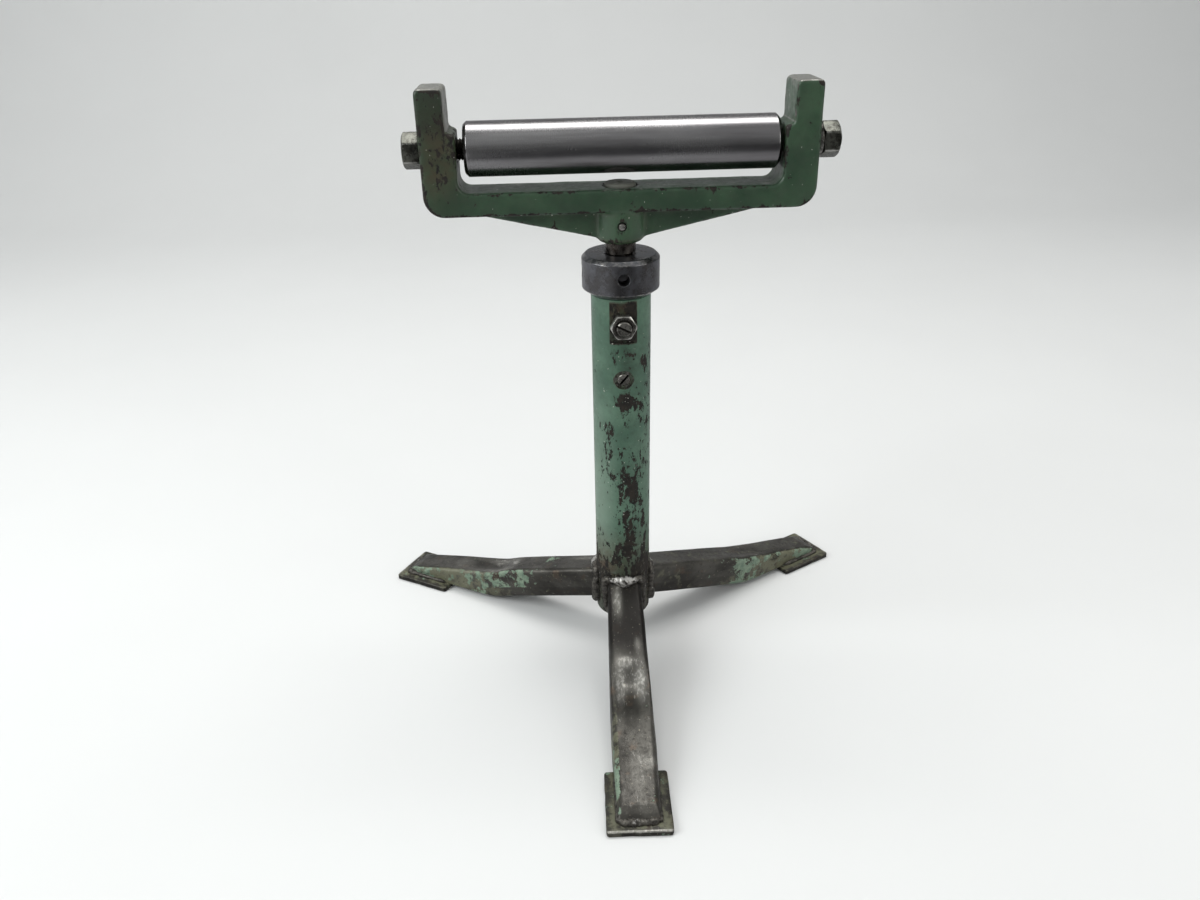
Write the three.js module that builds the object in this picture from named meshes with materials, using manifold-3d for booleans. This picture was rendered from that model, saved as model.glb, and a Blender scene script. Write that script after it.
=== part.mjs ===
// Roller stand for a workshop: a welded tripod, a screw jack in its column and a
// cast yoke that carries a free-running steel roller.
import * as THREE from 'three';
import { mergeVertices } from 'three/addons/utils/BufferGeometryUtils.js';
import Module from 'manifold-3d';

const wasm = await Module();
wasm.setup();

// Driving dimensions: millimetres and degrees, floor at z = 0

// Clearances and roundness
const SEAT_GAP = 0.3; // between pieces that are welded, screwed or pressed together
const RUNNING_GAP = 0.15; // radial play where one piece turns or slides on another
const ROUND_SIDES = 48; // facets round the column, nut and roller
const SMALL_SIDES = 24; // facets round screws, pins and holes
const CORNER_STEPS = 6; // segments in a corner of a drawn outline
const BEAD_STEPS = 3; // segments in a corner of a plate or weld bead
const EDGE_STEPS = 2; // segments across a rounded edge
const CUT_MARGIN = 1; // how far a cutting shape runs past what it cuts
const MERGE_DISTANCE = 1e-4; // corners nearer than this are one corner

// Foot plates
const FOOT_REACH = 248; // column axis to a plate's outer edge
const PLATE_WIDTH = 50;
const PLATE_LENGTH = 60;
const PLATE_THICKNESS = 5;
const PLATE_CORNER = 2;

// Legs of square tube, bent up a little on their way down to the plates
const LEG_HEADINGS = { front: -92, left: 150, right: 30 }; // degrees from +x, seen from above
const LEG_SIZE = 30;
const LEG_WALL = 3;
const LEG_CORNER = 4;
const LEG_ROOT_TOP = 69; // top of the tube where it meets the column
const LEG_BEND_REACH = 150; // column axis to the bend
const LEG_BEND_TOP = 31; // top of the tube at the bend
const LEG_TOE_SETBACK = 9; // plate's outer edge to the toe
const LEG_TOE_HEIGHT = 5.5; // of the blunt toe above its plate
const LEG_WELD = 4.5;
const FOOT_WELD = 4;

// Column pipe
const COLUMN_DIAMETER = 48.3;
const COLUMN_WALL = 5;
const COLUMN_BOTTOM = 31;
const COLUMN_LENGTH = 303;
const FLAT_DEPTH = 2.5; // milled seat of the lock nut
const FLAT_BELOW_TOP = 3;
const FLAT_MARGIN = 3.5; // left under the nut's lowest corner

// Guide bush in the column and the two slotted screws in front
const GUIDE_BUSH_LENGTH = 82;
const GUIDE_BUSH_BELOW_TOP = 2;
const GUIDE_SCREW_DIAMETER = 12;
const GUIDE_SCREW_BELOW_TOP = 21.5;
const GUIDE_SCREW_PROUD = 3; // past the face of the lock nut
const GUIDE_SCREW_SLOT_ANGLE = -27;
const GUIDE_DOG_DIAMETER = 6.4;
const LOCK_NUT_FLATS = 19;
const LOCK_NUT_THICKNESS = 7;
const BUSH_SCREW_DIAMETER = 10;
const BUSH_SCREW_BELOW_TOP = 67.5;
const BUSH_SCREW_BITE = 4; // depth of its point in the bush
const BUSH_SCREW_SLOT_ANGLE = 49;
const SPOT_FACE_DIAMETER = 16;
const SPOT_FACE_DEPTH = 2;
const FLAT_HEIGHT = GUIDE_SCREW_BELOW_TOP - FLAT_BELOW_TOP + LOCK_NUT_FLATS / Math.sqrt(3) + FLAT_MARGIN;
const SLOT_WIDTH = 1.8;
const SLOT_DEPTH = 2;
const SCREW_CHAMFER = 1;
const HEX_FACE_SHARE = 0.95; // round face of a hexagon as a share of its flats
const HEX_CHAMFER_ANGLE = 30;

// Ring nut on top of the column
const NUT_DIAMETER = 62;
const NUT_HEIGHT = 31.5;
const NUT_TOP_CHAMFER = 3;
const NUT_FOOT_HEIGHT = 4.5;
const NUT_FOOT_STEP = 6.4;
const TOMMY_HOLES = 4;
const TOMMY_HOLE_DIAMETER = 9.5;
const TOMMY_HOLE_DEPTH = 14;
const TOMMY_HOLE_HEIGHT = 17.5; // above the nut's lower face

// Lifting spindle
const SPINDLE_DIAMETER = 24;
const SPINDLE_PROUD = 2; // above the beam
const SPINDLE_TAIL = 20; // below the keyway
const SPINDLE_CHAMFER = 1.5;
const KEYWAY_PLAY = 0.3; // each side of the dog point
const KEYWAY_DEPTH = 4;
const KEYWAY_END_ROOM = 4; // left at each end of the lift
const LIFT_UP = 120;
const LIFT_DOWN = 8;

// Roller and axle
const ROLLER_DIAMETER = 40;
const ROLLER_LENGTH = 235;
const ROLLER_END_PLAY = 3.5; // from each end to the arm beside it
const ROLLER_BORE = 28;
const ROLLER_CHAMFER = 2.5;
const ROLLER_HEIGHT = 29; // axis above the beam's top
const ROLLER_SHIFT = 1.8; // towards the axle's nut, within the axial play
const ROLLER_BUSH_LENGTH = 30;
const ROLLER_BUSH_INSET = 1;
const AXLE_DIAMETER = 16;
const AXLE_HEX_FLATS = 24;
const AXLE_HEAD_THICKNESS = 12.5;
const AXLE_NUT_THICKNESS = 13;
const WASHER_DIAMETER = 27;
const WASHER_THICKNESS = 3.5;
const WASHER_SPLIT = 2; // opening of the spring washer
const AXLE_END_PROUD = 2.5;
const AXLE_END_CHAMFER = 2;

// Cast yoke
const HEAD_GAP = 9.5; // ring nut to boss as the stand is set
const BOSS_DIAMETER = 38;
const BOSS_HEIGHT = 25;
const BOSS_ROUND = 3;
const ARM_THICKNESS = 27;
const YOKE_WIDTH = ROLLER_LENGTH + 2 * (ROLLER_END_PLAY + ARM_THICKNESS);
const YOKE_DEPTH = 39;
const BEAM_THICKNESS = 18;
const ARM_HEIGHT = 43; // beam's top to the step
const HORN_THICKNESS = 21;
const HORN_HEIGHT = 31; // step to the tip
const HORN_ROUND = 4;
const STEP_ROUND = 3; // both bends of the step from arm to horn
const OUTER_CORNER = 16;
const INNER_CORNER = 8;
const CAST_EDGE = 2;
const RIB_THICKNESS = 14;
const RIB_REACH = 116;
const RIB_DROP = 22;
const PIN_DIAMETER = 6;
const PIN_HEIGHT = 14.5; // above the boss's lower face

// Levels and radii that follow from the driving dimensions
const columnRadius = COLUMN_DIAMETER / 2;
const columnTop = COLUMN_BOTTOM + COLUMN_LENGTH;
const guideScrewZ = columnTop - GUIDE_SCREW_BELOW_TOP;
const bushScrewZ = columnTop - BUSH_SCREW_BELOW_TOP;
const flatFront = columnRadius - FLAT_DEPTH;
const nutBottom = columnTop + SEAT_GAP;
const nutTop = nutBottom + NUT_HEIGHT;
const spindleRadius = SPINDLE_DIAMETER / 2;
const bossBottom = nutTop + HEAD_GAP;
const beamBottom = bossBottom + BOSS_HEIGHT;
const beamTop = beamBottom + BEAM_THICKNESS;
const stepZ = beamTop + ARM_HEIGHT;
const hornTop = stepZ + HORN_HEIGHT;
const rollerZ = beamTop + ROLLER_HEIGHT;
const pinZ = bossBottom + PIN_HEIGHT;
const yokeSide = YOKE_WIDTH / 2;
const axleNutFace = yokeSide + WASHER_THICKNESS + 2 * SEAT_GAP;
const plateTop = PLATE_THICKNESS + SEAT_GAP;

// Mesh work: closed geometries joined and cut as solids

function toSolid(geometry) {
  const bare = geometry.clone();
  bare.deleteAttribute('normal');
  bare.deleteAttribute('uv');
  const merged = mergeVertices(bare, MERGE_DISTANCE);
  const mesh = new wasm.Mesh({
    numProp: 3,
    vertProperties: new Float32Array(merged.attributes.position.array),
    triVerts: new Uint32Array(merged.index.array),
  });
  return new wasm.Manifold(mesh);
}

function toGeometry(solid) {
  const mesh = solid.getMesh();
  const geometry = new THREE.BufferGeometry();
  geometry.setAttribute('position', new THREE.BufferAttribute(mesh.vertProperties, 3));
  geometry.setIndex(new THREE.BufferAttribute(mesh.triVerts, 1));
  return geometry;
}

function join(first, ...others) {
  return toGeometry(others.reduce((solid, other) => solid.add(toSolid(other)), toSolid(first)));
}

function cut(body, ...tools) {
  return toGeometry(tools.reduce((solid, tool) => solid.subtract(toSolid(tool)), toSolid(body)));
}

function keepInside(body, limit) {
  return toGeometry(toSolid(body).intersect(toSolid(limit)));
}

// Basic forms

// Turned solid round the z axis from [radius, height] pairs, listed from the
// bottom outwards and up; a ring closes its profile, a bar starts and ends on the axis
function turned(profile, sides = ROUND_SIDES) {
  const points = profile.map(([radius, height]) => new THREE.Vector2(radius, height));
  return new THREE.LatheGeometry(points, sides).rotateX(Math.PI / 2);
}

function bar(radius, from, to, sides = SMALL_SIDES) {
  return turned([[0, from], [radius, from], [radius, to], [0, to]], sides);
}

function ring(outer, inner, from, to, sides = ROUND_SIDES) {
  return turned([[inner, from], [outer, from], [outer, to], [inner, to], [inner, from]], sides);
}

// A form made along +z is laid along -y (towards the front) or along +x
const facingFront = (geometry) => geometry.rotateX(Math.PI / 2);
const alongX = (geometry) => geometry.rotateY(Math.PI / 2);

function block(width, depth, height) {
  return new THREE.BoxGeometry(width, depth, height);
}

function roundedRectangle(width, height, corner) {
  const x = width / 2 - corner;
  const y = height / 2 - corner;
  const shape = new THREE.Shape();
  shape.absarc(x, y, corner, 0, Math.PI / 2);
  shape.absarc(-x, y, corner, Math.PI / 2, Math.PI);
  shape.absarc(-x, -y, corner, Math.PI, 1.5 * Math.PI);
  shape.absarc(x, -y, corner, 1.5 * Math.PI, 2 * Math.PI);
  return shape;
}

// Outline drawn as x across and y up, thickened along y and centred on y = 0
function standingSlab(shape, thickness, edge) {
  const geometry = new THREE.ExtrudeGeometry(shape, {
    depth: thickness - 2 * edge,
    curveSegments: CORNER_STEPS,
    bevelEnabled: edge > 0,
    bevelThickness: edge,
    bevelSize: edge,
    bevelOffset: -edge,
    bevelSegments: EDGE_STEPS,
  });
  return geometry.rotateX(Math.PI / 2).translate(0, thickness / 2 - edge, 0);
}

// Hexagon along z from 0 to its thickness, corners towards +y, with its corners
// turned down at the ends where asked
function hexagon(flats, thickness, chamferLow, chamferHigh) {
  const corner = flats / Math.sqrt(3);
  const inner = (flats * HEX_FACE_SHARE) / 2;
  const drop = (corner - inner) * Math.tan(THREE.MathUtils.degToRad(HEX_CHAMFER_ANGLE));
  const prism = new THREE.CylinderGeometry(corner, corner, thickness, 6).rotateX(Math.PI / 2);
  prism.translate(0, 0, thickness / 2);
  const low = chamferLow ? [[inner, 0], [corner, drop]] : [[corner, 0]];
  const high = chamferHigh ? [[corner, thickness - drop], [inner, thickness]] : [[corner, thickness]];
  return keepInside(prism, turned([[0, 0], ...low, ...high, [0, thickness]]));
}

// Tripod base

const legTop = legTopLine();

// The tube's top edge in the plane of one leg: two straight runs that meet in the bend
function legTopLine() {
  const slopeOf = (from, to) => Math.atan2(from.y - to.y, to.x - from.x);
  const root = new THREE.Vector2(columnRadius, LEG_ROOT_TOP);
  const bend = new THREE.Vector2(LEG_BEND_REACH, LEG_BEND_TOP);
  const toe = new THREE.Vector2(FOOT_REACH - LEG_TOE_SETBACK, plateTop + LEG_TOE_HEIGHT);
  return { root, bend, toe, inner: slopeOf(root, bend), outer: slopeOf(bend, toe) };
}

const along = (slope) => new THREE.Vector2(Math.cos(slope), -Math.sin(slope));
const above = (slope) => new THREE.Vector2(Math.sin(slope), Math.cos(slope));

// A depth under the leg's top edge, on the column's axis
function legStart(depth) {
  const { root, inner } = legTop;
  return root.clone().addScaledVector(along(inner), -columnRadius).addScaledVector(above(inner), -depth);
}

// Solid bar along the leg, out along +x, its walls a skin inside the tube's outside
function legBar(skin, corner, overrun = 0) {
  const { bend, toe, inner, outer } = legTop;
  const mitre = above(inner).add(above(outer)).divideScalar(1 + Math.cos(inner - outer));
  const edge = (depth) => [
    legStart(depth),
    bend.clone().addScaledVector(mitre, -depth),
    toe.clone().addScaledVector(along(outer), overrun).addScaledVector(above(outer), -depth),
  ];
  const shape = new THREE.Shape([...edge(skin), ...edge(LEG_SIZE - skin).reverse()]);
  return standingSlab(shape, LEG_SIZE - 2 * skin, corner);
}

function columnClearance() {
  return bar(columnRadius + SEAT_GAP, 0, columnTop, ROUND_SIDES);
}

function belowPlates(lift = 0) {
  const span = 4 * FOOT_REACH;
  return block(span, span, span).translate(0, 0, plateTop + lift - span / 2);
}

// Tube cut level with the top of its plate, the cut and the toe closed by a wall
function leg() {
  const inside = cut(legBar(LEG_WALL, LEG_CORNER - LEG_WALL, -LEG_WALL), belowPlates(LEG_WALL));
  return cut(legBar(0, LEG_CORNER), inside, columnClearance(), belowPlates());
}

// Half of the narrowest angle between two legs
function halfLegSpread() {
  const headings = Object.values(LEG_HEADINGS).sort((a, b) => a - b);
  const spreads = headings.map((heading, index) => (headings[index + 1] ?? headings[0] + 360) - heading);
  return THREE.MathUtils.degToRad(Math.min(...spreads)) / 2;
}

// Bead round the leg's root, stopped half way to the next leg
function legWeld() {
  const size = LEG_SIZE + 2 * LEG_WELD;
  const length = columnRadius + LEG_WELD;
  const bead = new THREE.ExtrudeGeometry(roundedRectangle(size, size, LEG_CORNER + LEG_WELD), {
    depth: length - LEG_WELD,
    curveSegments: BEAD_STEPS,
    bevelThickness: LEG_WELD,
    bevelSize: LEG_WELD,
    bevelOffset: -LEG_WELD,
    bevelSegments: BEAD_STEPS,
  });
  const start = legStart(LEG_SIZE / 2);
  alongX(bead).rotateY(legTop.inner).translate(start.x, 0, start.y);
  const half = halfLegSpread();
  const far = 2 * COLUMN_DIAMETER;
  const wedge = new THREE.Shape();
  wedge.moveTo(SEAT_GAP, 0);
  wedge.lineTo(SEAT_GAP + far * Math.cos(half), -far * Math.sin(half));
  wedge.lineTo(SEAT_GAP + far * Math.cos(half), far * Math.sin(half));
  const sector = new THREE.ExtrudeGeometry(wedge, { depth: columnTop, bevelEnabled: false });
  const trimmed = keepInside(bead, sector);
  return cut(trimmed, columnClearance(), legBar(-SEAT_GAP, LEG_CORNER));
}

const plateInner = FOOT_REACH - PLATE_LENGTH;

function footPlate() {
  const shape = roundedRectangle(PLATE_LENGTH, PLATE_WIDTH, PLATE_CORNER);
  const plate = new THREE.ExtrudeGeometry(shape, {
    depth: PLATE_THICKNESS,
    curveSegments: BEAD_STEPS,
    bevelEnabled: false,
  });
  return plate.translate(plateInner + PLATE_LENGTH / 2, 0, 0);
}

// Bead round the toe, where the tube stands on its plate
function footWeld() {
  const toe = FOOT_REACH - LEG_TOE_SETBACK + FOOT_WELD;
  const length = toe - plateInner;
  const shape = roundedRectangle(length, LEG_SIZE + 2 * FOOT_WELD, FOOT_WELD);
  const bead = new THREE.ExtrudeGeometry(shape, {
    depth: FOOT_WELD / 2,
    curveSegments: BEAD_STEPS,
    bevelThickness: FOOT_WELD / 2,
    bevelSize: FOOT_WELD / 2,
    bevelOffset: -FOOT_WELD / 2,
    bevelSegments: EDGE_STEPS,
  });
  bead.translate(plateInner + length / 2, 0, plateTop);
  return cut(bead, legBar(-SEAT_GAP, LEG_CORNER, SEAT_GAP), belowPlates());
}

// Column, guide bush and screws

const columnBore = columnRadius - COLUMN_WALL;
const guideBushRadius = columnBore - SEAT_GAP;
const guideBushTop = columnTop - GUIDE_BUSH_BELOW_TOP;

function frontHole(radius, from, to, z) {
  return facingFront(bar(radius, from, to)).translate(0, 0, z);
}

function columnTube() {
  const pipe = ring(columnRadius, columnBore, COLUMN_BOTTOM, columnTop);
  const outside = columnRadius + CUT_MARGIN;
  const flat = block(COLUMN_DIAMETER, outside - flatFront, FLAT_HEIGHT);
  flat.translate(0, -(outside + flatFront) / 2, columnTop - FLAT_BELOW_TOP - FLAT_HEIGHT / 2);
  return cut(
    pipe,
    flat,
    frontHole(GUIDE_SCREW_DIAMETER / 2 + SEAT_GAP, spindleRadius, outside, guideScrewZ),
    frontHole(BUSH_SCREW_DIAMETER / 2 + SEAT_GAP, spindleRadius, outside, bushScrewZ),
    frontHole(SPOT_FACE_DIAMETER / 2, columnRadius - SPOT_FACE_DEPTH, outside, bushScrewZ),
  );
}

function guideBush() {
  const sleeve = ring(
    guideBushRadius,
    spindleRadius + RUNNING_GAP,
    guideBushTop - GUIDE_BUSH_LENGTH,
    guideBushTop,
  );
  const seat = guideBushRadius - BUSH_SCREW_BITE - SEAT_GAP;
  return cut(
    sleeve,
    frontHole(GUIDE_SCREW_DIAMETER / 2 + SEAT_GAP, spindleRadius / 2, columnRadius, guideScrewZ),
    frontHole(BUSH_SCREW_DIAMETER / 2 + SEAT_GAP, seat, columnRadius, bushScrewZ),
  );
}

// Screw along z with a slot across its head end at z = end
function slotted(screw, end, diameter, angle) {
  const slot = block(diameter + 2 * CUT_MARGIN, SLOT_WIDTH, 2 * SLOT_DEPTH);
  slot.rotateZ(THREE.MathUtils.degToRad(angle)).translate(0, 0, end);
  return cut(screw, slot);
}

function guideScrew() {
  const radius = GUIDE_SCREW_DIAMETER / 2;
  const dog = GUIDE_DOG_DIAMETER / 2;
  const tip = spindleRadius - KEYWAY_DEPTH + SEAT_GAP;
  const shoulder = spindleRadius + 2 * SEAT_GAP;
  const end = flatFront + SEAT_GAP + LOCK_NUT_THICKNESS + GUIDE_SCREW_PROUD;
  const profile = [
    [0, tip],
    [dog, tip],
    [dog, shoulder],
    [radius, shoulder],
    [radius, end - SCREW_CHAMFER],
    [radius - SCREW_CHAMFER, end],
    [0, end],
  ];
  const screw = slotted(turned(profile, SMALL_SIDES), end, GUIDE_SCREW_DIAMETER, GUIDE_SCREW_SLOT_ANGLE);
  return facingFront(screw).translate(0, 0, guideScrewZ);
}

function guideLockNut() {
  const nut = cut(
    hexagon(LOCK_NUT_FLATS, LOCK_NUT_THICKNESS, false, true),
    bar(GUIDE_SCREW_DIAMETER / 2 + SEAT_GAP, -CUT_MARGIN, LOCK_NUT_THICKNESS + CUT_MARGIN),
  );
  return facingFront(nut).translate(0, -flatFront - SEAT_GAP, guideScrewZ);
}

function bushScrew() {
  const radius = BUSH_SCREW_DIAMETER / 2;
  const tip = guideBushRadius - BUSH_SCREW_BITE;
  const end = columnRadius;
  const profile = [
    [0, tip],
    [radius, tip],
    [radius, end - SCREW_CHAMFER],
    [radius - SCREW_CHAMFER, end],
    [0, end],
  ];
  const screw = slotted(turned(profile, SMALL_SIDES), end, BUSH_SCREW_DIAMETER, BUSH_SCREW_SLOT_ANGLE);
  return facingFront(screw).translate(0, 0, bushScrewZ);
}

// Ring nut with radial holes for a tommy bar

function ringNut() {
  const outer = NUT_DIAMETER / 2;
  const bore = spindleRadius + RUNNING_GAP;
  const body = turned([
    [bore, nutBottom],
    [outer - NUT_FOOT_STEP, nutBottom],
    [outer, nutBottom + NUT_FOOT_HEIGHT],
    [outer, nutTop - NUT_TOP_CHAMFER],
    [outer - NUT_TOP_CHAMFER, nutTop],
    [bore, nutTop],
    [bore, nutBottom],
  ]);
  const holes = Array.from({ length: TOMMY_HOLES }, (_, index) =>
    frontHole(
      TOMMY_HOLE_DIAMETER / 2,
      outer - TOMMY_HOLE_DEPTH,
      outer + CUT_MARGIN,
      nutBottom + TOMMY_HOLE_HEIGHT,
    ).rotateZ((2 * Math.PI * index) / TOMMY_HOLES),
  );
  return cut(body, ...holes);
}

// Lifting head: spindle, yoke, cross pin and axle

function spindle() {
  const dog = GUIDE_DOG_DIAMETER / 2;
  const keyHigh = guideScrewZ + LIFT_DOWN + dog + KEYWAY_END_ROOM;
  const keyLow = guideScrewZ - LIFT_UP - dog - KEYWAY_END_ROOM;
  const bottom = keyLow - SPINDLE_TAIL;
  const top = beamTop + SPINDLE_PROUD;
  const body = turned([
    [0, bottom],
    [spindleRadius - SPINDLE_CHAMFER, bottom],
    [spindleRadius, bottom + SPINDLE_CHAMFER],
    [spindleRadius, top - SPINDLE_CHAMFER],
    [spindleRadius - SPINDLE_CHAMFER, top],
    [0, top],
  ]);
  const keyway = block(GUIDE_DOG_DIAMETER + 2 * KEYWAY_PLAY, 2 * KEYWAY_DEPTH, keyHigh - keyLow);
  keyway.translate(0, -spindleRadius, (keyHigh + keyLow) / 2);
  return cut(body, keyway, pinHole());
}

function pinHole() {
  return frontHole(PIN_DIAMETER / 2 + SEAT_GAP, -YOKE_DEPTH, YOKE_DEPTH, pinZ);
}

function yokePin() {
  return frontHole(PIN_DIAMETER / 2, -BOSS_DIAMETER / 2, BOSS_DIAMETER / 2, pinZ);
}

// One side of the U from the beam's underside up to the horn and down to the beam's top
function yokeOutline() {
  const half = new THREE.Path();
  const arm = yokeSide - ARM_THICKNESS;
  const horn = yokeSide - HORN_THICKNESS;
  const quarter = Math.PI / 2;
  half.absarc(yokeSide - OUTER_CORNER, beamBottom + OUTER_CORNER, OUTER_CORNER, -quarter, 0);
  half.absarc(yokeSide - HORN_ROUND, hornTop - HORN_ROUND, HORN_ROUND, 0, quarter);
  half.absarc(horn + HORN_ROUND, hornTop - HORN_ROUND, HORN_ROUND, quarter, Math.PI);
  const turn = Math.acos(Math.max(0, 1 - (ARM_THICKNESS - HORN_THICKNESS) / (2 * STEP_ROUND)));
  const rise = STEP_ROUND * Math.sin(turn);
  half.absarc(horn - STEP_ROUND, stepZ + rise, STEP_ROUND, 0, -turn, true);
  half.absarc(arm + STEP_ROUND, stepZ - rise, STEP_ROUND, Math.PI - turn, Math.PI);
  half.absarc(arm - INNER_CORNER, beamTop + INNER_CORNER, INNER_CORNER, 0, -quarter, true);
  const apart = (point, index, all) => index === 0 || point.distanceTo(all[index - 1]) > MERGE_DISTANCE;
  const right = half.getPoints(CORNER_STEPS).filter(apart);
  const left = right.map((point) => new THREE.Vector2(-point.x, point.y)).reverse();
  return new THREE.Shape([...right, ...left]);
}

function ribOutline() {
  const root = BOSS_DIAMETER / 2 - BOSS_ROUND;
  const inBeam = beamBottom + BEAM_THICKNESS / 2;
  return new THREE.Shape([
    new THREE.Vector2(-RIB_REACH, inBeam),
    new THREE.Vector2(-RIB_REACH, beamBottom),
    new THREE.Vector2(-root, beamBottom - RIB_DROP),
    new THREE.Vector2(root, beamBottom - RIB_DROP),
    new THREE.Vector2(RIB_REACH, beamBottom),
    new THREE.Vector2(RIB_REACH, inBeam),
  ]);
}

function yoke() {
  const boss = BOSS_DIAMETER / 2;
  const hub = turned([
    [0, bossBottom],
    [boss - BOSS_ROUND, bossBottom],
    [boss, bossBottom + BOSS_ROUND],
    [boss, beamTop - CAST_EDGE],
    [0, beamTop - CAST_EDGE],
  ]);
  const casting = join(
    standingSlab(yokeOutline(), YOKE_DEPTH, CAST_EDGE),
    standingSlab(ribOutline(), RIB_THICKNESS, CAST_EDGE),
    hub,
  );
  const axleHole = bar(AXLE_DIAMETER / 2 + SEAT_GAP, -YOKE_WIDTH, YOKE_WIDTH);
  return cut(
    casting,
    bar(spindleRadius + SEAT_GAP, columnTop, beamTop + CUT_MARGIN, ROUND_SIDES),
    alongX(axleHole).translate(0, 0, rollerZ),
    pinHole(),
  );
}

// A hexagon that is laid along x afterwards gets corners at its top and bottom
const cornersUp = (geometry) => geometry.rotateZ(Math.PI / 6);

function axleBolt() {
  const radius = AXLE_DIAMETER / 2;
  const headFace = yokeSide + SEAT_GAP;
  const end = axleNutFace + AXLE_NUT_THICKNESS + AXLE_END_PROUD;
  const shank = turned(
    [
      [0, -headFace - CUT_MARGIN],
      [radius, -headFace - CUT_MARGIN],
      [radius, end - AXLE_END_CHAMFER],
      [radius - AXLE_END_CHAMFER, end],
      [0, end],
    ],
    SMALL_SIDES,
  );
  const head = cornersUp(hexagon(AXLE_HEX_FLATS, AXLE_HEAD_THICKNESS, true, false));
  head.translate(0, 0, -headFace - AXLE_HEAD_THICKNESS);
  return alongX(join(head, shank)).translate(0, 0, rollerZ);
}

function axleNut() {
  const nut = cut(
    cornersUp(hexagon(AXLE_HEX_FLATS, AXLE_NUT_THICKNESS, true, true)),
    bar(AXLE_DIAMETER / 2 + SEAT_GAP, -CUT_MARGIN, AXLE_NUT_THICKNESS + CUT_MARGIN),
  );
  return alongX(nut.translate(0, 0, axleNutFace)).translate(0, 0, rollerZ);
}

function axleWasher() {
  const bore = AXLE_DIAMETER / 2 + SEAT_GAP;
  const washer = ring(WASHER_DIAMETER / 2, bore, 0, WASHER_THICKNESS, SMALL_SIDES);
  const split = block(WASHER_DIAMETER, WASHER_SPLIT, 3 * WASHER_THICKNESS);
  split.translate(WASHER_DIAMETER / 2, 0, WASHER_THICKNESS / 2);
  const sprung = cut(washer, split).translate(0, 0, yokeSide + SEAT_GAP);
  return alongX(sprung).translate(0, 0, rollerZ);
}

// Roller with a plain bush pressed into each end

const rollerHalf = ROLLER_LENGTH / 2;

function rollerTube() {
  const outer = ROLLER_DIAMETER / 2;
  const bore = ROLLER_BORE / 2;
  const tube = turned([
    [bore, -rollerHalf],
    [outer - ROLLER_CHAMFER, -rollerHalf],
    [outer, -rollerHalf + ROLLER_CHAMFER],
    [outer, rollerHalf - ROLLER_CHAMFER],
    [outer - ROLLER_CHAMFER, rollerHalf],
    [bore, rollerHalf],
    [bore, -rollerHalf],
  ]);
  return alongX(tube).translate(ROLLER_SHIFT, 0, rollerZ);
}

function rollerBush(side) {
  const outer = ROLLER_BORE / 2 - SEAT_GAP;
  const inner = AXLE_DIAMETER / 2 + RUNNING_GAP;
  const bush = ring(outer, inner, -ROLLER_BUSH_LENGTH / 2, ROLLER_BUSH_LENGTH / 2);
  const middle = rollerHalf - ROLLER_BUSH_INSET - ROLLER_BUSH_LENGTH / 2;
  return alongX(bush).translate(ROLLER_SHIFT + side * middle, 0, rollerZ);
}

// Assembly

const finish = (color, roughness, metalness) => ({ color, roughness, metalness });
const greenPaint = finish(0x50735f, 0.5, 0.1);
const castGreen = finish(0x3d5746, 0.55, 0.1);
const bareSteel = finish(0x3c3733, 0.55, 0.7);
const blackSteel = finish(0x34343a, 0.4, 0.9);
const groundSteel = finish(0xb4b6ba, 0.25, 1.0);
const dullSteel = finish(0x7c7b74, 0.45, 0.9);
const bronze = finish(0x8c6a3a, 0.45, 0.9);
const weldMetal = finish(0x4a4541, 0.5, 0.8);

function piece(name, geometry, look) {
  const mesh = new THREE.Mesh(geometry, new THREE.MeshStandardMaterial(look));
  mesh.name = name;
  return mesh;
}

const stand = new THREE.Group();

for (const [side, heading] of Object.entries(LEG_HEADINGS)) {
  const arm = new THREE.Group();
  arm.rotation.z = THREE.MathUtils.degToRad(heading);
  arm.add(
    piece(`leg_${side}`, leg(), bareSteel),
    piece(`leg_weld_${side}`, legWeld(), weldMetal),
    piece(`foot_plate_${side}`, footPlate(), bareSteel),
    piece(`foot_weld_${side}`, footWeld(), weldMetal),
  );
  stand.add(arm);
}

stand.add(
  piece('column_tube', columnTube(), greenPaint),
  piece('guide_bush', guideBush(), bronze),
  piece('guide_screw', guideScrew(), dullSteel),
  piece('guide_lock_nut', guideLockNut(), dullSteel),
  piece('bush_screw', bushScrew(), dullSteel),
  piece('ring_nut', ringNut(), blackSteel),
  piece('spindle', spindle(), blackSteel),
  piece('yoke', yoke(), castGreen),
  piece('yoke_pin', yokePin(), dullSteel),
  piece('axle_bolt', axleBolt(), dullSteel),
  piece('axle_nut', axleNut(), dullSteel),
  piece('axle_washer', axleWasher(), dullSteel),
  piece('roller_tube', rollerTube(), groundSteel),
  piece('roller_bush_left', rollerBush(-1), bronze),
  piece('roller_bush_right', rollerBush(1), bronze),
);

// The origin is the floor point under the middle of the footprint, so the column
// stands behind it: one plate reaches forward and two reach back
const footprint = new THREE.Box3().setFromObject(stand, true).getCenter(new THREE.Vector3());
stand.position.set(-footprint.x, -footprint.y, 0);

const part = new THREE.Group();
part.add(stand);

export default part;
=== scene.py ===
import math

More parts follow.
